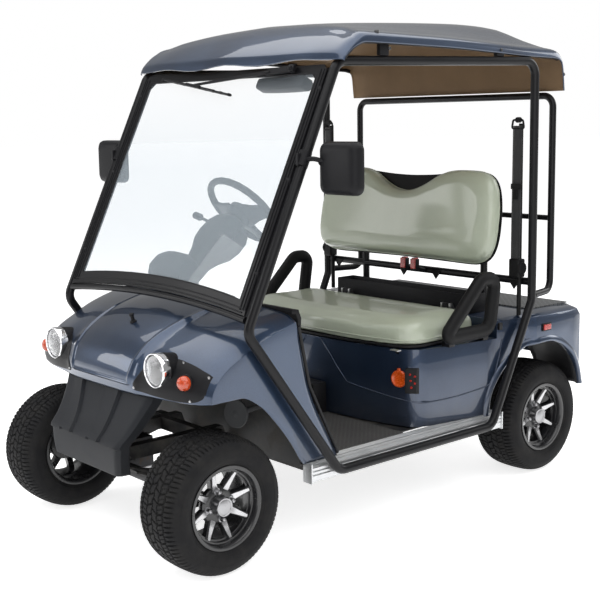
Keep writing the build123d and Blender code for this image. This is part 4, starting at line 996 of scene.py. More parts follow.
def makeSkirt():
    shape = bmesh.new()
    count = skirt["columns"]
    laps = {spot + d for spot, _ in skirt["laps"] for d in (-0.17, 0.0, 0.014)}
    shares = sorted({-1 + 2 * i / count for i in range(count + 1)} | laps | {-0.708, -0.692, 0.052, 0.068})
    rows = []
    for z in skirt["levels"]:
        _, half, middle, corner = easeColumns([row[0] for row in skirt["rows"]], skirt["rows"], z)
        # folded flank, front, folded flank
        row = [at(-half - 3 + 3 * step / 6, corner + 14 + 40 * (1 - step / 6), z) for step in range(7)]
        row += [at(skirtColumn(share, z) * half, skirtFront(share, z, middle, corner), z) for share in shares]
        row += [at(half + 3 * step / 6, corner + 14 + 40 * step / 6, z) for step in range(1, 7)]
        rows.append(row)
    addGrid(shape, rows)
    turnTowards(shape, Vector((0, -1, 0)))
    piece = setPiece("skirtShell", shape, skirtPlastic, instead=("front_skirt",), smooth=38)
    thicken(piece, skirt["wall"])


makeSkirt()
print("skirt ready")


# roof
roof = {
    "wall": 0.005, "rows": 84, "wave": 5.0,
    "across": (610, 609, 607, 604, 600, 594, 586, 576, 562, 545, 525, 500, 470, 435, 395, 350, 300, 250, 185, 120,
               60),
    # place across, then the skin's line from the front lip to the rear lip
    "lines": [
        (0, [(452, 1672), (462, 1700), (560, 1788), (650, 1820), (1000, 1848), (1450, 1868), (1655, 1864),
             (1700, 1805), (1720, 1576)]),
        (250, [(456, 1668), (466, 1697), (560, 1780), (645, 1812), (1000, 1836), (1450, 1850), (1655, 1842),
               (1700, 1788), (1720, 1576)]),
        (450, [(463, 1674), (473, 1699), (556, 1764), (632, 1792), (1000, 1794), (1450, 1784), (1655, 1774),
               (1699, 1742), (1718, 1576)]),
        (540, [(470, 1675), (480, 1698), (552, 1752), (618, 1774), (1000, 1770), (1450, 1752), (1652, 1746),
               (1694, 1714), (1713, 1576)]),
        (578, [(475, 1675), (485, 1697), (548, 1748), (606, 1768), (1000, 1762), (1450, 1744), (1648, 1738),
               (1690, 1706), (1709, 1576)]),
        (598, [(480, 1674), (490, 1692), (545, 1740), (602, 1760), (1000, 1754), (1450, 1736), (1645, 1730),
               (1687, 1700), (1705, 1576)]),
        (607, [(485, 1672), (493, 1686), (545, 1728), (600, 1744), (1000, 1740), (1450, 1722), (1640, 1716),
               (1683, 1692), (1701, 1576)]),
        (610, [(488, 1668), (495, 1678), (547, 1716), (602, 1729), (1000, 1724), (1450, 1706), (1638, 1702),
               (1681, 1684), (1699, 1576)]),
    ],
    "ridges": (210, 470), "edging": (0.1, 0.16, 0.22, 0.28, 0.34, 0.4, 0.47, 0.54, 0.61, 0.68, 0.74, 0.79),
    # y, x, height of the skin and of the rail under it
    "pads": ((700.0, 577.0, 1752.0, 1671.0), (1300.0, 597.0, 1730.0, 1684.0)),
    "railScrew": [(0.0005, 0.006), (0.0025, 0.0042), (0.003, 0.0)],
    "screws": (((604, 1699, 1640), (1, 0.1, 0), [(0.0015, 0.007), (0.0035, 0.005), (0.004, 0.0)], 16),
               ((588, 660, 1764), (0, 0, 1), [(0.004, 0.009), (0.008, 0.006), (0.009, 0.0)], 18)),
}


def makeRoof():
    shape = bmesh.new()
    table = []
    for share in (i / (roof["rows"] - 1) for i in range(roof["rows"])):
        line = []
        for x in mirrored(roof["across"]):
            y, z = rowPoint(roof["lines"], x, share)
            # the front lip dips between the corners
            wave = roof["wave"] * math.cos(abs(x) / 560 * 3 * math.pi) * max(0.0, 1 - share / 0.1)
            line.append(at(x, y, z + wave))
        table.append(line)
    addGrid(shape, table)
    turnTowards(shape, Vector((0, 0, 1)))
    piece = setPiece("roofSkin", shape, [paint, lining], instead=("roof_shell",), smooth=60)
    thicken(piece, roof["wall"], 1)


def makeRoofFittings():
    # black edging under the side lips, pads on the rails, lining ridges, fixings
    edging, ridges, fixings = bmesh.new(), bmesh.new(), bmesh.new()
    for sideSign in bothSides:
        line = [rowPoint(roof["lines"], 608, share) for share in roof["edging"]]
        addTube(edging, [at(sideSign * 600, y + 2, z - 7) for y, z in line], 0.0085, 12)
        for y, padX, skinZ, railZ in roof["pads"]:
            addBlock(edging, sideSign, (padX - 9, padX + 9), (y - 22, y + 22), (railZ + 17, skinZ), 0.003)
            addPeg(fixings, at(sideSign * 611, y, railZ + 40), (sideSign, 0, 0), -0.004, roof["railScrew"], 16)
        for (x, y, z), facing, screw, steps in roof["screws"]:
            addPeg(fixings, at(sideSign * x, y, z), (sideSign * facing[0], *facing[1:]), -0.006, screw, steps)
        for x in roof["ridges"]:
            line = [rowPoint(roof["lines"], x, 0.36 + 0.4 * step / 14) for step in range(15)]
            addTube(ridges, [at(sideSign * x, y, z - 7) for y, z in line], 0.0055, 10)
    outwardFaces(edging, ridges, fixings)
    setPiece("roofEdging", edging, blackPlastic)
    setPiece("liningRidges", ridges, lining)
    setPiece("roofFixings", fixings, gloss)


makeRoof()
makeRoofFittings()
print("roof ready")


# windscreen
screen = {
    "origin": (102.6, 846.3), "up": (0.43, 0.9028), "clear": 500.0, "clearTop": 862.0, "lowEnd": 52.0, "lowMid": 84.0,
    "frameTop": 893.0, "barEnd": -12.0, "barMid": 21.0, "clamps": (140, 470, 800), "beads": (516, 531, 543),
    "footBeads": (22, 36),
}
wiper = {
    "pivot": (379.0, 876.0), "armEnd": (-183.0, 832.0), "blade": ((-418.0, 872.0), (71.0, 789.0)),
    "case": (290.0, 846.0),
    "caseHalf": (130, 23), "caseRings": ((-8, 6), (-11, 1.5), (-16, 0), (-48, 0), (-55, 3), (-60, 10)),
    "hub": [(0.0005, 0.0), (0.0005, 0.0145), (0.012, 0.015), (0.017, 0.013), (0.0185, 0.0085), (0.024, 0.008),
            (0.0255, 0.0055), (0.026, 0.0)],
    "caseNut": [(-0.003, 0.0), (-0.003, 0.006), (0.003, 0.0055), (0.004, 0.0)],
    "shaft": [(0.026, 0.018), (0.026, 0.012), (0.045, 0.0115), (0.045, 0.005), (0.062, 0.005), (0.062, 0.0)],
    # share of the blade from and to, half width, height from the glass of frames, claws, holder and rubber
    "bars": [(0.2, 0.8, 3.6, 24.0, 29.0), (0.02, 0.34, 3.0, 19.0, 24.5), (0.66, 0.98, 3.0, 19.0, 24.5),
             (0.4, 0.6, 6.0, 22.0, 31.0), (0.0, 1.0, 4.2, 14.0, 17.5), (0.0, 1.0, 1.3, 11.5, 14.4)],
    "claws": (0.02, 0.13, 0.24, 0.34, 0.5, 0.66, 0.76, 0.87, 0.98),
}


def onScreen(x, up, out=0.0):
    rearward, risen = screen["up"]
    y, z = screen["origin"]
    return at(x, y + rearward * up - risen * out, z + risen * up + rearward * out)


screenOut = (onScreen(0, 0, 1) - onScreen(0, 0)).normalized()


def bowedEdge(half, lowEnd, lowMid, count=25):
    # the bowed lower edge from one side to the other
    shares = [2 * i / (count - 1) - 1 for i in range(count)]
    return [(half * share, lowEnd + (lowMid - lowEnd) * (1 - share ** 2)) for share in shares]


def screenBox(shape, start, end, widths, low, high):
    # flat tapered strip lying along the windscreen, with bevelled long edges
    side = Vector((start[1] - end[1], end[0] - start[0])).normalized()
    rows = []
    for place, w in ((start, widths[0]), (end, widths[1])):
        ring = [(-w, low), (-w, high - 1.2), (-w + 1.4, high), (w - 1.4, high), (w, high - 1.2), (w, low)]
        rows.append([onScreen(place[0] + side.x * across, place[1] + side.y * across, out) for across, out in ring])
    addLoft(shape, rows)


def makeScreenSeals():
    seals = bmesh.new()
    clear, top = screen["clear"], screen["clearTop"]
    loop = [onScreen(x, up, 7.6) for x, up in bowedEdge(clear, screen["lowEnd"], screen["lowMid"])]
    loop += [onScreen(clear, top, 7.6), onScreen(-clear, top, 7.6)]
    addTube(seals, loop + loop[:1], 0.0036, 10)
    # folded edge and beads down each side of the frame and along its foot
    for sideSign in bothSides:
        for x in screen["beads"]:
            addTube(seals, [onScreen(sideSign * x, up, 10.5) for up in (18, screen["frameTop"] - 18)], 0.003, 8)
    for rise in screen["footBeads"]:
        low = bowedEdge(530.0, screen["barEnd"] + rise, screen["barMid"] + rise)
        addTube(seals, [onScreen(x, up, 10.5) for x, up in low], 0.0026, 8)
    # strips that close the frame against the pillars, and the clamps on them
    for sideSign in bothSides:
        screenBox(seals, (sideSign * 558, 0), (sideSign * 556, 880), (15.0, 13.0), -9.0, 5.0)
        for up in screen["clamps"]:
            addBox(seals, onScreen(sideSign * 540 - 9, up, 4) - Vector((0, 0.006, 0.012)),
                   onScreen(sideSign * 540 + 9, up, 4) + Vector((0, 0.004, 0.012)), 0.002)
    outwardFaces(seals)
    setPiece("screenSeals", seals, blackPlastic)


def makeWiper():
    arm, case = bmesh.new(), bmesh.new()
    px, pu = wiper["pivot"]
    addTurned(arm, onScreen(px, pu, 15), screenOut, wiper["hub"], 32)
    screenBox(arm, (px + 14, pu + 1), (px - 128, pu - 10), (13.0, 10.5), 20.0, 30.0)
    screenBox(arm, (px - 118, pu - 9), wiper["armEnd"], (7.0, 4.6), 25.0, 30.0)
    pin = Vector((0, 0, 1)).cross(screenOut)
    addPeg(arm, onScreen(px - 122, pu - 9.5, 31), pin, -0.012, [(0.012, 0.003), (0.012, 0.0)], 12)
    (startX, startUp), (endX, endUp) = wiper["blade"]

    def along(share):
        share = min(1.0, max(0.0, share))
        return startX + (endX - startX) * share, startUp + (endUp - startUp) * share

    for low, high, half, inner, outer in wiper["bars"]:
        screenBox(arm, along(low), along(high), (half, half), inner, outer)
    for share in wiper["claws"]:
        screenBox(arm, along(share - 0.012), along(share + 0.012), (5.2, 5.2), 15.5, 22.0)
    cx, cu = wiper["case"]
    rows = []
    for out, inset in wiper["caseRings"]:
        wide, tall = (half - inset for half in wiper["caseHalf"])
        corner = min(tall, 16)
        rows.append([onScreen(cx + math.copysign(min(abs(c) * wide * 1.6, wide - corner), c) + corner * c,
                              cu + math.copysign(min(abs(s) * tall * 1.6, tall - corner), s) + corner * s, out)
                     for c, s in ((math.cos(angle), math.sin(angle)) for angle in turnAngles(48))])
    addLoft(case, rows)
    addPeg(case, onScreen(px, pu, -34), screenOut, 0.0, wiper["shaft"], 28)
    for x in (cx - 112, cx + 96):
        addTurned(case, onScreen(x, cu, -60), -screenOut, wiper["caseNut"], 6)
    outwardFaces(arm, case)
    setPiece("wiperBlade", arm, blackPlastic, "wiper", ("wiper_arm",))
    setPiece("wiperCase", case, blackPlastic, instead=("wiper_motor",))


makeScreenSeals()
makeWiper()
print("windscreen ready")


# steering and dash
steering = {
    "centre": (-270.0, 740.0, 1110.0), "radius": 0.165, "grip": 0.0145, "tilt": 40.0,
    # distance down the column, half width, half depth, lift of the section
    "shroud": [(60, 30, 30, 0), (66, 52, 44, 2), (84, 74, 62, 6), (120, 88, 74, 8), (170, 90, 76, 8),
               (215, 82, 70, 6), (258, 60, 54, 2), (300, 46, 44, 0), (420, 44, 43, 0), (505, 44, 43, 0)],
    "seam": ((84, 0.07876), (120, 0.0895), (170, 0.0895), (215, 0.0895)),
    "stalk": ((-0.07, 0, 0), (-0.11, 0.004, 0.012), (-0.19, 0.008, 0.03)),
    "knob": ((0, 0, 0), (-0.012, 0.001, 0.003), (-0.048, 0.002, 0.01), (-0.06, 0.002, 0.012)),
    "knobSizes": [0.007, 0.0155, 0.015, 0.006],
    "key": [(0.0, 0.0), (0.0, 0.014), (0.01, 0.013), (0.012, 0.01), (0.012, 0.0)],
    # degrees, share of the width; then reach, half width, half thickness, depth
    "spokes": ((3, 1.6), (177, 1.6), (270, 1.0)),
    "spoke": ((0.03, 0.036, 0.012, -0.026), (0.06, 0.032, 0.011, -0.022), (0.095, 0.024, 0.01, -0.014),
              (0.13, 0.02, 0.009, -0.005), (0.16, 0.022, 0.008, 0.0)),
    "boss": [(-0.055, 0.04), (-0.045, 0.052), (-0.024, 0.058), (-0.006, 0.055), (0.002, 0.044), (0.004, 0.04),
             (0.0015, 0.037), (0.006, 0.03), (0.009, 0.016), (0.01, 0.0)],
}
tilt = math.radians(steering["tilt"])
columnAxis = Vector((0, math.cos(tilt), math.sin(tilt)))
columnUp = Vector((0, -columnAxis.z, columnAxis.y))
wheelMiddle = at(*steering["centre"])


def aroundWheel(angle):
    return Vector((math.cos(angle), 0, 0)) + columnUp * math.sin(angle)


def makeSteeringWheel():
    rim = bmesh.new()
    rows = []
    for angle in turnAngles(120):
        out = aroundWheel(angle)
        thick = steering["grip"] * (1 + 0.035 * math.cos(angle * 24))  # finger grips
        rows.append([
            wheelMiddle + out * (steering["radius"] + math.cos(b) * thick * 0.95) + columnAxis * math.sin(b) * thick
            for b in turnAngles(16)
        ])
    addGrid(rim, rows, aroundRows=True, aroundColumns=True)
    for degrees, broad in steering["spokes"]:
        out, across = (aroundWheel(math.radians(degrees + more)) for more in (0, 90))
        rows = []
        for reach, wide, thick, depth in steering["spoke"]:
            place = wheelMiddle + out * reach + columnAxis * depth
            rows.append([
                place + across * math.copysign(min(abs(c) * 1.25, 1.0) * wide * broad, c)
                + columnAxis * math.copysign(min(abs(s) * 1.3, 1.0) * thick, s)
                for c, s in ((math.cos(b), math.sin(b)) for b in turnAngles(16, 0.5))
            ])
        addGrid(rim, rows, aroundColumns=True)
    addTurned(rim, wheelMiddle, columnAxis, [(-0.055, 0.0)] + steering["boss"], 48)
    addTurned(rim, wheelMiddle, columnAxis, [(-0.11, 0.0), (-0.11, 0.011), (-0.05, 0.011), (-0.05, 0.0)], 24)
    outwardFaces(rim)
    setPiece("handWheel", rim, softBlack, "hand_wheel", ("steering_wheel",), 50)


def makeColumn():
    column = bmesh.new()
    rows = []
    for down, half, deep, lift in steering["shroud"]:
        middle = wheelMiddle - columnAxis * down / 1000 - columnUp * lift / 1000
        ring = []
        for angle in turnAngles(40):
            c, s = math.cos(angle), math.sin(angle)
            squarish = (abs(c) ** 4 + abs(s) ** 4) ** -0.25 / 1000
            ring.append(middle + Vector((c * squarish * half, 0, 0)) + columnUp * s * squarish * deep)
        rows.append(ring)
    addLoft(column, rows)
    # seam of the two halves
    for sideSign in bothSides:
        addTube(column, [wheelMiddle - columnAxis * down / 1000 + Vector((sideSign * aside, 0, 0))
                         for down, aside in steering["seam"]], 0.0022, 8)
    # stalk with its knob, and the key switch
    root = wheelMiddle - columnAxis * 0.104
    stalk = [root + Vector(step) for step in steering["stalk"]]
    addTube(column, stalk, 0.0065, 12)
    knob = [stalk[-1] + Vector(step) for step in steering["knob"]]
    addTube(column, knob, steering["knobSizes"], 20)
    key = wheelMiddle - columnAxis * 0.15 + Vector((0.088, 0, 0))
    addTurned(column, key, (1, 0, 0), steering["key"], 24)
    outwardFaces(column)
    setPiece("columnShroud", column, softBlack, instead=("steering_column",), smooth=50)


dash = {
    # hood over the dials: outline in y and z about its foot, and its span across
    "hood": [(338, 812), (330, 850), (328, 905), (338, 945), (362, 966), (392, 972), (424, 962), (446, 944),
             (440, 938), (428, 940), (416, 900), (404, 850), (398, 818)],
    "span": (-372.0, -158.0), "foot": (380, 812), "facing": (0, 0.965, 0.26), "dials": ((-300, 0.034), (-228, 0.026)),
    "dialAt": (419, 902), "switches": (-340, -200, 180, 214), "switch": ((352, 366), (742, 772)),
    "panel": ((60, 420), (350, 362), (700, 790)),
}


def makeDash():
    hood, fittings, faces = bmesh.new(), bmesh.new(), bmesh.new()
    x0, x1 = dash["span"]
    y0, z0 = dash["foot"]
    rows = []
    for share in (i / 14 for i in range(15)):
        full = 1 - abs(share * 2 - 1) ** 3.2  # smaller towards its ends
        deep, tall = 0.86 + 0.14 * full, 0.8 + 0.2 * full
        rows.append([at(x0 + (x1 - x0) * share, y0 + (y - y0) * deep, z0 + (z - z0) * tall) for y, z in dash["hood"]])
    addLoft(hood, rows)
    for x, radius in dash["dials"]:
        centre = at(x, *dash["dialAt"])
        addTurned(fittings, centre, dash["facing"], [
            (-0.006, 0.0), (-0.006, radius), (0.004, radius), (0.006, radius - 0.003), (0.003, radius - 0.005),
            (0.0015, radius - 0.0055)], 40)
        face = [(0.0016, radius - 0.005), (0.0018, radius * 0.5), (0.0018, 0.0)]
        addTurned(faces, centre, dash["facing"], face, 40)
    for x in dash["switches"]:
        addBlock(fittings, 1, (x - 12, x + 12), *dash["switch"], 0.002)
    addBlock(fittings, 1, *dash["panel"], 0.006)
    outwardFaces(hood, fittings, faces)
    setPiece("gaugeHood", hood, softBlack, smooth=45)
    setPiece("dashFittings", fittings, gloss)
    setPiece("dialFaces", faces, mouldedGrey)


makeSteeringWheel()
makeColumn()
makeDash()
print("steering ready")


# mirrors
mirror = {
    "centre": (692.0, 388.0, 1315.0), "size": (178.0, 46.0, 174.0), "corner": 30.0, "pillar": (392.6, 824.2),
    # distance from the middle, inset of the outline
    "shell": ((-23, 26), (-20, 14), (-13, 5), (-3, 1), (17, 0), (23, 1.5), (23, 5), (19, 6)),
    "face": ((19.5, 5.5), (20, 30)),
}


def makeMirrors():
    shells, faces = bmesh.new(), bmesh.new()
    cx, cy, cz = mirror["centre"]
    wide, _, tall = mirror["size"]
    armZ = cz + 30
    leanY, leanZ = mirror["pillar"]
    pillarY = screen["origin"][0] + (armZ - screen["origin"][1]) * leanY / leanZ
    for sideSign in bothSides:

        def ring(y, inset):
            corner = mirror["corner"] - inset * 0.5
            out = []
            for angle in turnAngles(64, 0.5):
                c, s = math.cos(angle), math.sin(angle)
                x = cx + math.copysign(wide / 2 - inset - corner, c) + corner * c
                out.append(at(sideSign * x, cy + y, cz + math.copysign(tall / 2 - inset - corner, s) + corner * s))
            return out if sideSign > 0 else out[::-1]

        made = addGrid(shells, [ring(*row) for row in mirror["shell"]], aroundColumns=True)
        shells.faces.new(made[0])
        made = addGrid(faces, [ring(*row) for row in mirror["face"]], aroundColumns=True)
        faces.faces.new(made[-1])
        # arm with its knuckle, and the clamp round the pillar
        arm = ((574, pillarY, armZ), (612, pillarY + 6, cz + 32), (640, cy, cz + 18))
        addTube(shells, roundedRun([at(sideSign * x, y, z) for x, y, z in arm], 0.02), 0.008)
        addPeg(shells, at(sideSign * 622, cy - 2, cz + 22), (0, 1, 0), -0.02, [(0.012, 0.013), (0.012, 0.0)], 20)
        middle = at(sideSign * 567, pillarY, armZ)
        clamp = [(-0.026, 0.017), (-0.026, 0.0215), (0.026, 0.0215), (0.026, 0.017)]
        addTurned(shells, middle, (0, leanY, leanZ), clamp, 32)
        addBox(shells, middle + Vector((-0.006, -0.03, -0.02)), middle + Vector((0.006, -0.016, 0.02)), 0.002)
    outwardFaces(shells, faces)
    setPiece("mirrorShells", shells, blackPlastic, instead=("mirrors",), smooth=45)
    setPiece("mirrorFaces", faces, mirrorGlass, smooth=45)


makeMirrors()
print("mirrors ready")


# cushions
cushion = {
    "voxel": 0.0095, "frames": 20, "welt": 0.0026, "evening": 30, "fill": 0.7,
    "cloth": {"quality": 5, "mass": 0.35, "tension_stiffness": 14, "compression_stiffness": 14, "shear_stiffness": 8,
              "bending_stiffness": 3, "use_pressure": True, "uniform_pressure_force": 4.0,
              "vertex_group_mass": "held"},
}
seatPad = {
    "middle": 1094.0, "deep": 236.0, "wide": 505.0, "cap": 0.01, "seam": 0.6235, "flankFrom": 440, "endFrom": 150,
    "fallFrom": 120, "fall": 16.0, "topFrom": 690, "tab": ((448, 486), (862, 884), (612, 616), 0.0012),
    "plan": [(0, -236), (200, -228), (340, -210), (430, -188), (480, -158), (505, -109), (505, 186), (495, 222),
             (470, 236), (0, 236)],
    # inset, height
    "layers": [(26, 621), (14, 623), (7, 634), (5, 652), (6, 672), (12, 688), (26, 701), (52, 709), (100, 713),
               (170, 714), (226, 714)],
}
backPad = {
    "origin": (1392.0, 880.0), "tilt": 11.0, "wide": 518.0, "middle": 190.0, "cap": 0.009,
    "outline": [(0, 6), (240, 3), (420, 0), (478, 14), (508, 52), (518, 120), (512, 230), (494, 318), (462, 366),
                (410, 386), (330, 389), (262, 387), (205, 372), (130, 328), (62, 298), (0, 292)],
    # inset, distance in front of the shell
    "layers": [(10, 0), (5, 3), (4, 14), (4, 30), (9, 43), (20, 52), (42, 58), (80, 60), (130, 61), (180, 61)],
    # straight top edge of the shell, and its own insets and distances
    "shellTop": [(250, 378), (120, 366), (0, 362)],
    "shell": [(44, -15), (14, -15.5), (6, -12), (2, -6), (2, -3), (8, -1.8)],
}


def smoothLoop(half, count):
    # evenly spaced places round an outline given for one side, its corners eased
    points = half + [(-x, y) for x, y in half[::-1] if x > 0]
    closed = points + points[:1]
    knots = knotsAlong(closed)
    ring = []
    for t in (knots[-1] * i / count for i in range(count)):
        k = max(j for j in range(len(points)) if knots[j] <= t)
        share = (t - knots[k]) / (knots[k + 1] - knots[k])
        ring.append(tuple(a + (b - a) * share for a, b in zip(closed[k], closed[k + 1])))
    for _ in range(6):
        ring = [tuple((a[j] + 2 * b[j] + c[j]) / 4 for j in (0, 1))
                for a, b, c in zip(ring[-1:] + ring[:-1], ring, ring[1:] + ring[:1])]
    return ring


def layered(layers, place, ring):
    shape = bmesh.new()
    addLoft(shape, [[place(x, y, *layer) for x, y in ring] for layer in layers])
    outwardFaces(shape)
    return shape


def applied(piece):
    # the shape with its modifiers baked in
    baked = bpy.data.meshes.new_from_object(piece.evaluated_get(bpy.context.evaluated_depsgraph_get()))
    piece.modifiers.clear()
    piece.data = baked
    for face in baked.polygons:
        face.use_smooth = True


def evened(piece, steps, held):
    # the swell is shared out between neighbours, so that it leaves no puckers
    edges = [tuple(edge.vertices) for edge in piece.data.edges]
    fixed = [held(vert.co) for vert in piece.data.vertices]
    for _ in range(cushion["evening"]):
        sums = [step.copy() for step in steps]
        counts = [1] * len(steps)
        for a, b in edges:
            sums[a] += steps[b]
            sums[b] += steps[a]
            counts[a] += 1
            counts[b] += 1
        steps = [Vector() if still else total / count for total, count, still in zip(sums, counts, fixed)]
    return steps


def puffUp(piece, cap, held):
    # even skin, swelled by cloth under a little air, held where it rests
    even = piece.modifiers.new("even", "REMESH")
    even.mode = "VOXEL"
    even.voxel_size = cushion["voxel"]
    applied(piece)
    rest = [vert.co.copy() for vert in piece.data.vertices]
    pins = piece.vertex_groups.new(name="held")
    pins.add([vert.index for vert in piece.data.vertices if held(vert.co)], 1.0, "REPLACE")
    cloth = piece.modifiers.new("cloth", "CLOTH")
    for key, value in cushion["cloth"].items():
        setattr(cloth.settings, key, value)
    cloth.settings.effector_weights.gravity = 0
    cloth.collision_settings.use_collision = False
    cloth.point_cache.frame_start = 1
    cloth.point_cache.frame_end = cushion["frames"]
    for frameNow in range(1, cushion["frames"] + 1):
        bpy.context.scene.frame_set(frameNow)
    grown = piece.evaluated_get(bpy.context.evaluated_depsgraph_get()).data
    steps = [vert.co - before for vert, before in zip(grown.vertices, rest)]
    piece.modifiers.remove(cloth)
    for vert, before, step in zip(piece.data.vertices, rest, evened(piece, steps, held)):
        vert.co = before + (step * (cap / step.length) if step.length > cap else step)
    bpy.context.scene.frame_set(1)
    fine = piece.modifiers.new("fine", "SUBSURF")
    fine.levels = 1
    fine.render_levels = 1
    applied(piece)


def makePad(name, layers, place, ring, cap, held, body, node):
    piece = setPiece(name, layered(layers, place, ring), vinyl, body=body, instead=(node,), smooth=0)
    puffUp(piece, cap, held)
    return piece


def makeWelt(name, piece, points, body):
    # sewn cord laid on the skin of a cushion
    mesh = piece.data
    tree = BVHTree.FromPolygons([v.co for v in mesh.vertices], [tuple(f.vertices) for f in mesh.polygons])
    line = []
    for point in points:
        place, normal, _, _ = tree.find_nearest(point)
        line.append(place + normal * cushion["welt"] * 0.25)
    welt = bmesh.new()
    addTube(welt, line, cushion["welt"], 8, closed=True)
    setPiece(name, welt, vinyl, body=body)


def makeSeat():
    ring = smoothLoop(seatPad["plan"], 180)
    wide, deep = seatPad["wide"], seatPad["deep"]

    def place(x, y, inset, z):
        # sides pull in a little between the corners, and the front edge falls away
        flank, end = abs(x) > seatPad["flankFrom"], abs(y) > seatPad["endFrom"]
        waist = 4.0 * (1 - (abs(x) / wide) ** 2) * end + 3.0 * (1 - (abs(y) / deep) ** 2) * flank
        scaleX = 1 - (inset + (waist if flank else 0)) / wide
        scaleY = 1 - (inset + (waist if end else 0)) / deep
        front = max(0.0, -y * scaleY - seatPad["fallFrom"]) / (deep - seatPad["fallFrom"])
        fall = seatPad["fall"] * front ** 2 if z > seatPad["topFrom"] else 0.0
        return at(x * scaleX, seatPad["middle"] + y * scaleY, z - fall)

    piece = makePad("seatTop", seatPad["layers"], place, ring, seatPad["cap"], lambda co: co.z < seatPad["seam"],
                    "seat_bottom", "seat_cushion")
    makeWelt("seatWelt", piece, [at(x * 0.992, seatPad["middle"] + y * 0.985, 636) for x, y in ring], "seat_bottom")
    # pale pull tab under the front edge
    tab = bmesh.new()
    addBlock(tab, 1, *seatPad["tab"])
    setPiece("seatTab", tab, steel, body="seat_bottom")


def onBack(x, up, out):
    lean = math.radians(backPad["tilt"])
    y, z = backPad["origin"]
    return at(x, y + up * math.sin(lean) - out * math.cos(lean), z + up * math.cos(lean) + out * math.sin(lean))


def makeBackrest():
    ring = smoothLoop(backPad["outline"], 220)
    wide, middle = backPad["wide"], backPad["middle"]
    rear = onBack(0, 0, 3.0)
    outward = (onBack(0, 0, 1) - onBack(0, 0, 0)).normalized()

    def place(x, up, inset, out):
        return onBack(x * (1 - inset / wide), middle + (up - middle) * (1 - inset / middle), out)

    piece = makePad("backTop", backPad["layers"], place, ring, backPad["cap"],
                    lambda co: (co - rear).dot(outward) < 0.0, "cart", "backrest_cushion")
    makeWelt("backWelt", piece, [place(x, up, 2, 9) for x, up in ring], "cart")
    # moulded shell behind it, whose top edge runs straight across the dip
    shellRing = smoothLoop(backPad["outline"][:10] + backPad["shellTop"], 160)
    setPiece("backShell", layered(backPad["shell"], place, shellRing), softBlack,
             instead=("backrest_shell",), smooth=50)


makeSeat()
makeBackrest()
print("cushions ready")


# armrests
armrest = {
    "x": 556.0, "thick": 0.0255, "tall": 1.12, "flat": 0.95, "bend": 0.05, "feet": (1090, 1290),
    "nut": [(0.004, 0.008), (0.006, 0.004), (0.006, 0.0)],
    "route": [(1196, 646), (1310, 648), (1342, 848), (1258, 850), (1048, 646)],
}


def makeArmrests():
    arms, feet = bmesh.new(), bmesh.new()
    thick = armrest["thick"]
    for sideSign in bothSides:
        route = [at(sideSign * armrest["x"], y, z) for y, z in armrest["route"]]
        middle = (route[0] + route[-1]) / 2
        run = roundedRun([middle] + route + [middle], armrest["bend"], 9)[:-1]
        rings = []
        for i, place in enumerate(run):
            along = (run[(i + 1) % len(run)] - run[i - 1]).normalized()
            inPlane = along.cross(Vector((1, 0, 0))).normalized()
            rings.append([
                place + Vector((math.cos(b) * thick * armrest["flat"], 0, 0))
                + inPlane * math.sin(b) * thick * armrest["tall"]
                for b in turnAngles(20)
            ])
        addGrid(arms, rings, aroundRows=True, aroundColumns=True)
        for y in armrest["feet"]:
            addBlock(feet, sideSign, (516, 556), (y - 16, y + 16), (607, 632), 0.003)
            addPeg(feet, at(sideSign * 530, y, 632), (0, 0, 1), -0.002, armrest["nut"], 6)
        addBlock(feet, sideSign, (563, 573), (1352, 1372), (640, 668), 0.002)
    outwardFaces(arms, feet)
    setPiece("armPads", arms, softBlack, instead=("armrests",), smooth=60)
    setPiece("armFeet", feet, tube)


makeArmrests()


# seat belts
belt = {
    "x": 552.0, "y": 1490.0, "barY": 1522.0, "barZ": 818.0, "buckleX": 30, "bracketX": (96, 520),
    # half width, then spans behind the post or the seat bar and in height, and edge round, of the reel and the tongue
    "onPost": ((25, (-30, 14), (838, 912), 0.007), (24, (-24, -17), (1190, 1212), 0.002),
               (11, (-23, -19), (1150, 1192), 0.001)),
    "buckle": (15, (-90, -64), (818, 872), 0.004),
    "buttons": ((11, (-87, -68), (869, 877), 0.002), (14, (-93, -88), (830, 873), 0.0015)),
    # webbing from the reel up through the guide: distance behind the post, height
    "web": [(-18, 912), (-17, 1100), (-15, 1300), (-14, 1420), (-13, 1436), (-9, 1438)],
    "webAcross": (-22, -11, 0, 11, 22),
    "guide": [(0, 1428), (30, 1428), (24, 1462), (-24, 1462), (-30, 1428), (0, 1428)],
}


def beltBlock(shape, x, y, half, ys, zs, edgeRound):
    addBlock(shape, 1, (x - half, x + half), [y + step for step in ys], zs, edgeRound)


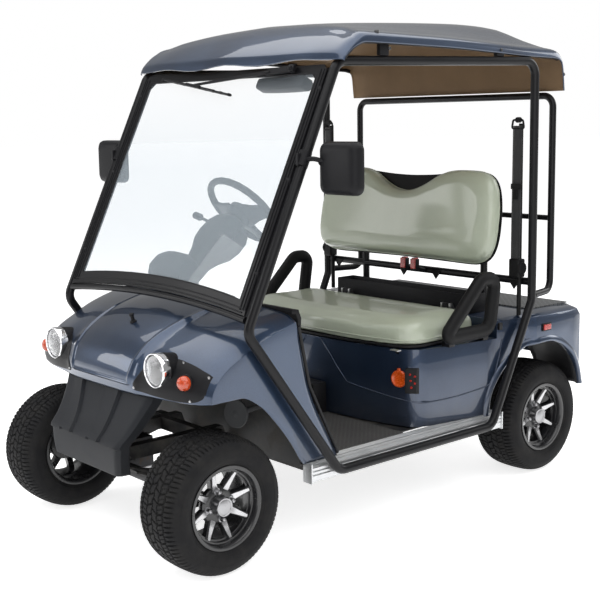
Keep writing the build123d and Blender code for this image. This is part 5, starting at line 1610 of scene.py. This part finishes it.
def makeBelts():
    gear, webs, buttons = bmesh.new(), bmesh.new(), bmesh.new()
    barY, barZ, y = belt["barY"], belt["barZ"], belt["y"]
    for sideSign in bothSides:
        x = sideSign * belt["x"]
        addTube(gear, [at(x, y + 8, 681), at(x, y + 8, 1448)], 0.009)
        for block in belt["onPost"]:
            beltBlock(gear, x, y, *block)
        addTurned(gear, at(x + sideSign * 25, y - 8, 875), (sideSign, 0, 0), [
            (-0.004, 0.0), (-0.004, 0.026), (0.005, 0.024), (0.006, 0.0)], 32)
        # slotted guide at the top
        guide = roundedRun([at(x + side, y - 12, z) for side, z in belt["guide"]], 0.008, 5)[:-1]
        addTube(gear, guide, 0.0042, 10, closed=True)
        addPeg(gear, at(x, y - 18, 1462), (0, 1, 0), 0.0, [(0.018, 0.011), (0.018, 0.0)], 24)
        addGrid(webs, [[at(x + side, y + behind, z) for side in belt["webAcross"]] for behind, z in belt["web"]])
        # buckle of the lap belt with its red buttons
        bx = sideSign * belt["buckleX"]
        addTube(gear, [at(bx, barY - 14, barZ), at(bx, barY - 50, 828), at(bx, barY - 70, 838)], 0.0075, 12)
        beltBlock(gear, bx, barY, *belt["buckle"])
        for block in belt["buttons"]:
            beltBlock(buttons, bx, barY, *block)
        # folded brackets that carry the seat bar
        for bracketX in belt["bracketX"]:
            corners = [at(sideSign * bracketX + dx, barY - 15, barZ + dz) for dx, dz in ((-30, 4), (30, 4), (0, -34))]
            addLoft(gear, [[corner + Vector((0, step, 0)) for corner in corners] for step in (-0.003, 0.003)])
    outwardFaces(gear, buttons)
    setPiece("beltGear", gear, softBlack, instead=("seat_belts",))
    setPiece("beltButtons", buttons, red)
    thicken(setPiece("beltStraps", webs, strap, instead=("belt_webbing",), smooth=0), 0.0016)


makeBelts()
print("armrests and belts ready")


# rear body trim
rearBody = {
    "axle": 1648.0,
    # half plan of the body, from the middle of its front wall round to the rear: x, distance behind the axle
    "plan": [(0, -773), (250, -755), (400, -728), (470, -706), (500, -680), (514, -638), (535, -498), (554, -348),
             (566, -248), (573, -128), (600, -92), (604, -8), (604, 152), (592, 214), (540, 257)],
    "frontCorner": 5, "archEnd": 213,
    # distance behind the axle, height of the wheel opening
    "arch": [(-342, 300), (-336, 360), (-303, 430), (-243, 495), (-168, 540), (-93, 562), (-18, 565), (52, 548),
             (117, 510), (167, 460), (200, 400), (218, 345)],
    "lip": ((-0.018, -0.001), (0.006, -0.003), (0.011, 0.002), (0.011, 0.008), (0.006, 0.017), (0.0, 0.024),
            (-0.006, 0.024)),
    # x and z on the front wall, then y and z on the side
    "creaseFront": ((44, 604), (80, 560), (130, 500), (183, 444), (240, 436), (320, 425), (400, 414), (460, 406),
                    (486, 403), (500, 401)),
    "creaseSide": ((986, 400), (1010, 399), (1080, 399), (1150, 402), (1230, 410), (1300, 420), (1325, 430),
                   (1345, 470), (1366, 540), (1380, 600)),
}


def between(knots, values, t):
    # straight interpolation, holding the last value
    for a, b, low, high in zip(knots, knots[1:], values, values[1:]):
        if t <= b:
            return low + (high - low) * (t - a) / (b - a)
    return values[-1]


def wallFrontY(x):
    front = rearBody["plan"][:rearBody["frontCorner"] + 1]
    return rearBody["axle"] + between([p[0] for p in front], [p[1] for p in front], x)


def wallSideX(y):
    flank = rearBody["plan"][rearBody["frontCorner"]:]
    return between([p[1] for p in flank], [p[0] for p in flank], max(y - rearBody["axle"], flank[0][1]))


def archPlaces():
    # x of the wall, y, z and distance behind the axle round the wheel opening
    axle = rearBody["axle"]
    for behind, z in pathThrough(rearBody["arch"], 40):
        yield wallSideX(min(axle + behind, axle + rearBody["archEnd"])), axle + behind, z, behind


def makeBodyTrim():
    crease, lips, liners = bmesh.new(), bmesh.new(), bmesh.new()
    for sideSign in bothSides:
        line = [at(sideSign * x, wallFrontY(x) - 0.3, z) for x, z in rearBody["creaseFront"]]
        line += [at(sideSign * (wallSideX(y) + 0.3), y, z) for y, z in rearBody["creaseSide"]]
        addTube(crease, line, 0.0028, 8)
        # rolled lip round the wheel opening, and the moulded liner inside it
        lipRows, linerRows = [], []
        for x, y, z, behind in archPlaces():
            out = Vector((0, behind + 60, z - 300) if z > 300 else (0, behind, 1)).normalized()
            centre = at(sideSign * (x - 2), y, z)
            lipRows.append([centre + Vector((sideSign * dx, 0, 0)) + out * up for dx, up in rearBody["lip"]])
            linerRows.append([at(sideSign * (x - 4 + (376 - x) * step / 6), y, z + 3) for step in range(7)])
        addLoft(lips, lipRows)
        addGrid(liners, linerRows)
    outwardFaces(crease, lips, liners)
    setPiece("bodyCrease", crease, paint, smooth=0)
    setPiece("archLips", lips, paint, smooth=50)
    thicken(setPiece("wheelLiners", liners, blackPlastic, smooth=50), 0.003)


port = {
    "disc": (432, 490), "facing": (0.3, -0.95, 0), "box": (464, 474, 484, 494, 499),
    "boxRing": ((0, 436), (-12, 438), (-14, 444), (-14, 528), (-12, 534), (0, 536)),
    "reflector": [(0.0, 0.0), (0.0, 0.0335), (0.0045, 0.0335), (0.0075, 0.031), (0.008, 0.027), (0.0068, 0.0255),
                  (0.0072, 0.0)],
    "marks": ((480, 512), (494, 505), (482, 488), (494, 478), (484, 462)),
}


def makeChargePort():
    box, disc, marks = bmesh.new(), bmesh.new(), bmesh.new()
    x, z = port["disc"]
    centre = at(x, wallFrontY(x) - 1, z)
    addTurned(disc, centre, port["facing"], port["reflector"], 48)
    addBox(disc, centre + Vector((-0.006, -0.006, 0.03)), centre + Vector((0.006, 0.001, 0.041)), 0.0015)
    addLoft(box, [[at(x, wallFrontY(x) + out, z) for out, z in port["boxRing"]] for x in port["box"]])
    for x, z in port["marks"]:
        addTurned(marks, at(x, wallFrontY(x) - 13.5, z), port["facing"], [
            (-0.002, 0.0), (-0.002, 0.0045), (0.0018, 0.0042), (0.0024, 0.0)], 14)
    outwardFaces(box, disc, marks)
    setPiece("chargeSocket", box, blackPlastic, instead=("charge_port",))
    setPiece("sideReflector", disc, orange)
    setPiece("socketMarks", marks, red)


makeBodyTrim()
makeChargePort()
print("rear trim ready")


# sills and horn
sill = {
    "y": (356.0, 1370.0), "screws": (400, 560, 720, 880, 1040, 1200, 1330),
    # across, height: ribbed tread, step down, outer face
    "section": [(510, 303), (514, 305.5), (518, 303), (522, 305.5), (526, 303), (530, 305.5), (534, 303),
                (538, 305.5), (542, 303), (546, 305.5), (552, 305.5), (554, 300), (560, 298.5), (562, 294),
                (566, 296), (568, 291), (572, 290), (572, 282), (569.5, 279), (572, 276), (572, 268), (569.5, 265),
                (572, 262), (572, 243), (568, 240), (538, 240), (534, 244), (534, 298), (510, 299)],
    # end plates and the brackets to the side tube
    "blocks": [((530, 576), (350, 356), (236, 306), 0.0015), ((530, 576), (1370, 1376), (236, 306), 0.0015),
               ((571, 575.5), (595, 645), (254, 280), 0.001), ((571, 575.5), (1115, 1165), (254, 280), 0.001)],
}


def makeSills():
    tread = bmesh.new()
    for sideSign in bothSides:
        addLoft(tread, [[at(sideSign * x, y, z) for x, z in sill["section"]] for y in sill["y"]])
        for block in sill["blocks"]:
            addBlock(tread, sideSign, *block)
        for y in sill["screws"]:
            addTurned(tread, at(sideSign * 549, y, 305.5), (0, 0, 1), [
                (-0.001, 0.0), (-0.001, 0.0042), (0.001, 0.004), (0.002, 0.0)], 14)
    outwardFaces(tread)
    setPiece("sillTreads", tread, ribbed, instead=("sills",), smooth=25)


horn = {
    "place": (360, 196, 474), "facing": (0.25, -0.95, 0.1), "pipe": ((372, 280, 486), (372, 337, 488)),
    "body": [(-0.03, 0.0), (-0.03, 0.02), (-0.012, 0.03), (-0.01, 0.046), (0.0, 0.05), (0.004, 0.049)],
    "brackets": (((330, 352), (210, 216), (508, 560), 0.002), ((336, 346), (192, 224), (528, 536), 0.0015)),
}


def makeHorn():
    disc, brackets = bmesh.new(), bmesh.new()
    centre = at(*horn["place"])
    facing = Vector(horn["facing"]).normalized()
    ribs = [(0.0035 + 0.0015 * (k % 2), 0.049 - 0.0055 * k) for k in range(1, 8)]
    addTurned(disc, centre, facing, horn["body"] + ribs + [(0.006, 0.0)], 48)
    addTube(disc, [centre - facing * 0.02] + [at(*place) for place in horn["pipe"]], 0.01)
    for block in horn["brackets"]:
        addBlock(brackets, 1, *block)
    outwardFaces(disc, brackets)
    setPiece("hornDisc", disc, hornGrey, instead=("horn",), smooth=35)
    setPiece("hornBracket", brackets, steel)


makeSills()
makeHorn()
print("sills ready")


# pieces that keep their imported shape
wear(paint, "rear_body", bevel=0.005)
wear(blackPlastic, "dash_panel", "seat_plate", "floor_box", "rear_tray", bevel=0.003)
wear(tube, "side_frame_left", "side_frame_right", "rear_frame", "seat_support", "cowl_trim", "windscreen_frame")
wear(chassisBlack, "battery_pack", "pedals", "floor_pan", "chassis_rails", "chassis_cross", "leaf_springs",
     bevel=0.001)
wear(cast, "front_axle", "knuckle_left", "knuckle_right", "steering_box", "rear_axle", "drive_motor", bevel=0.0015)
wear(steel, "tie_rod", "pitman_arm", "seat_hinges", bevel=0.0008)
wear(floorRubber, "floor_mat")
wear(deckRubber, "deck_mat")
wear(glass, "windscreen_glass")
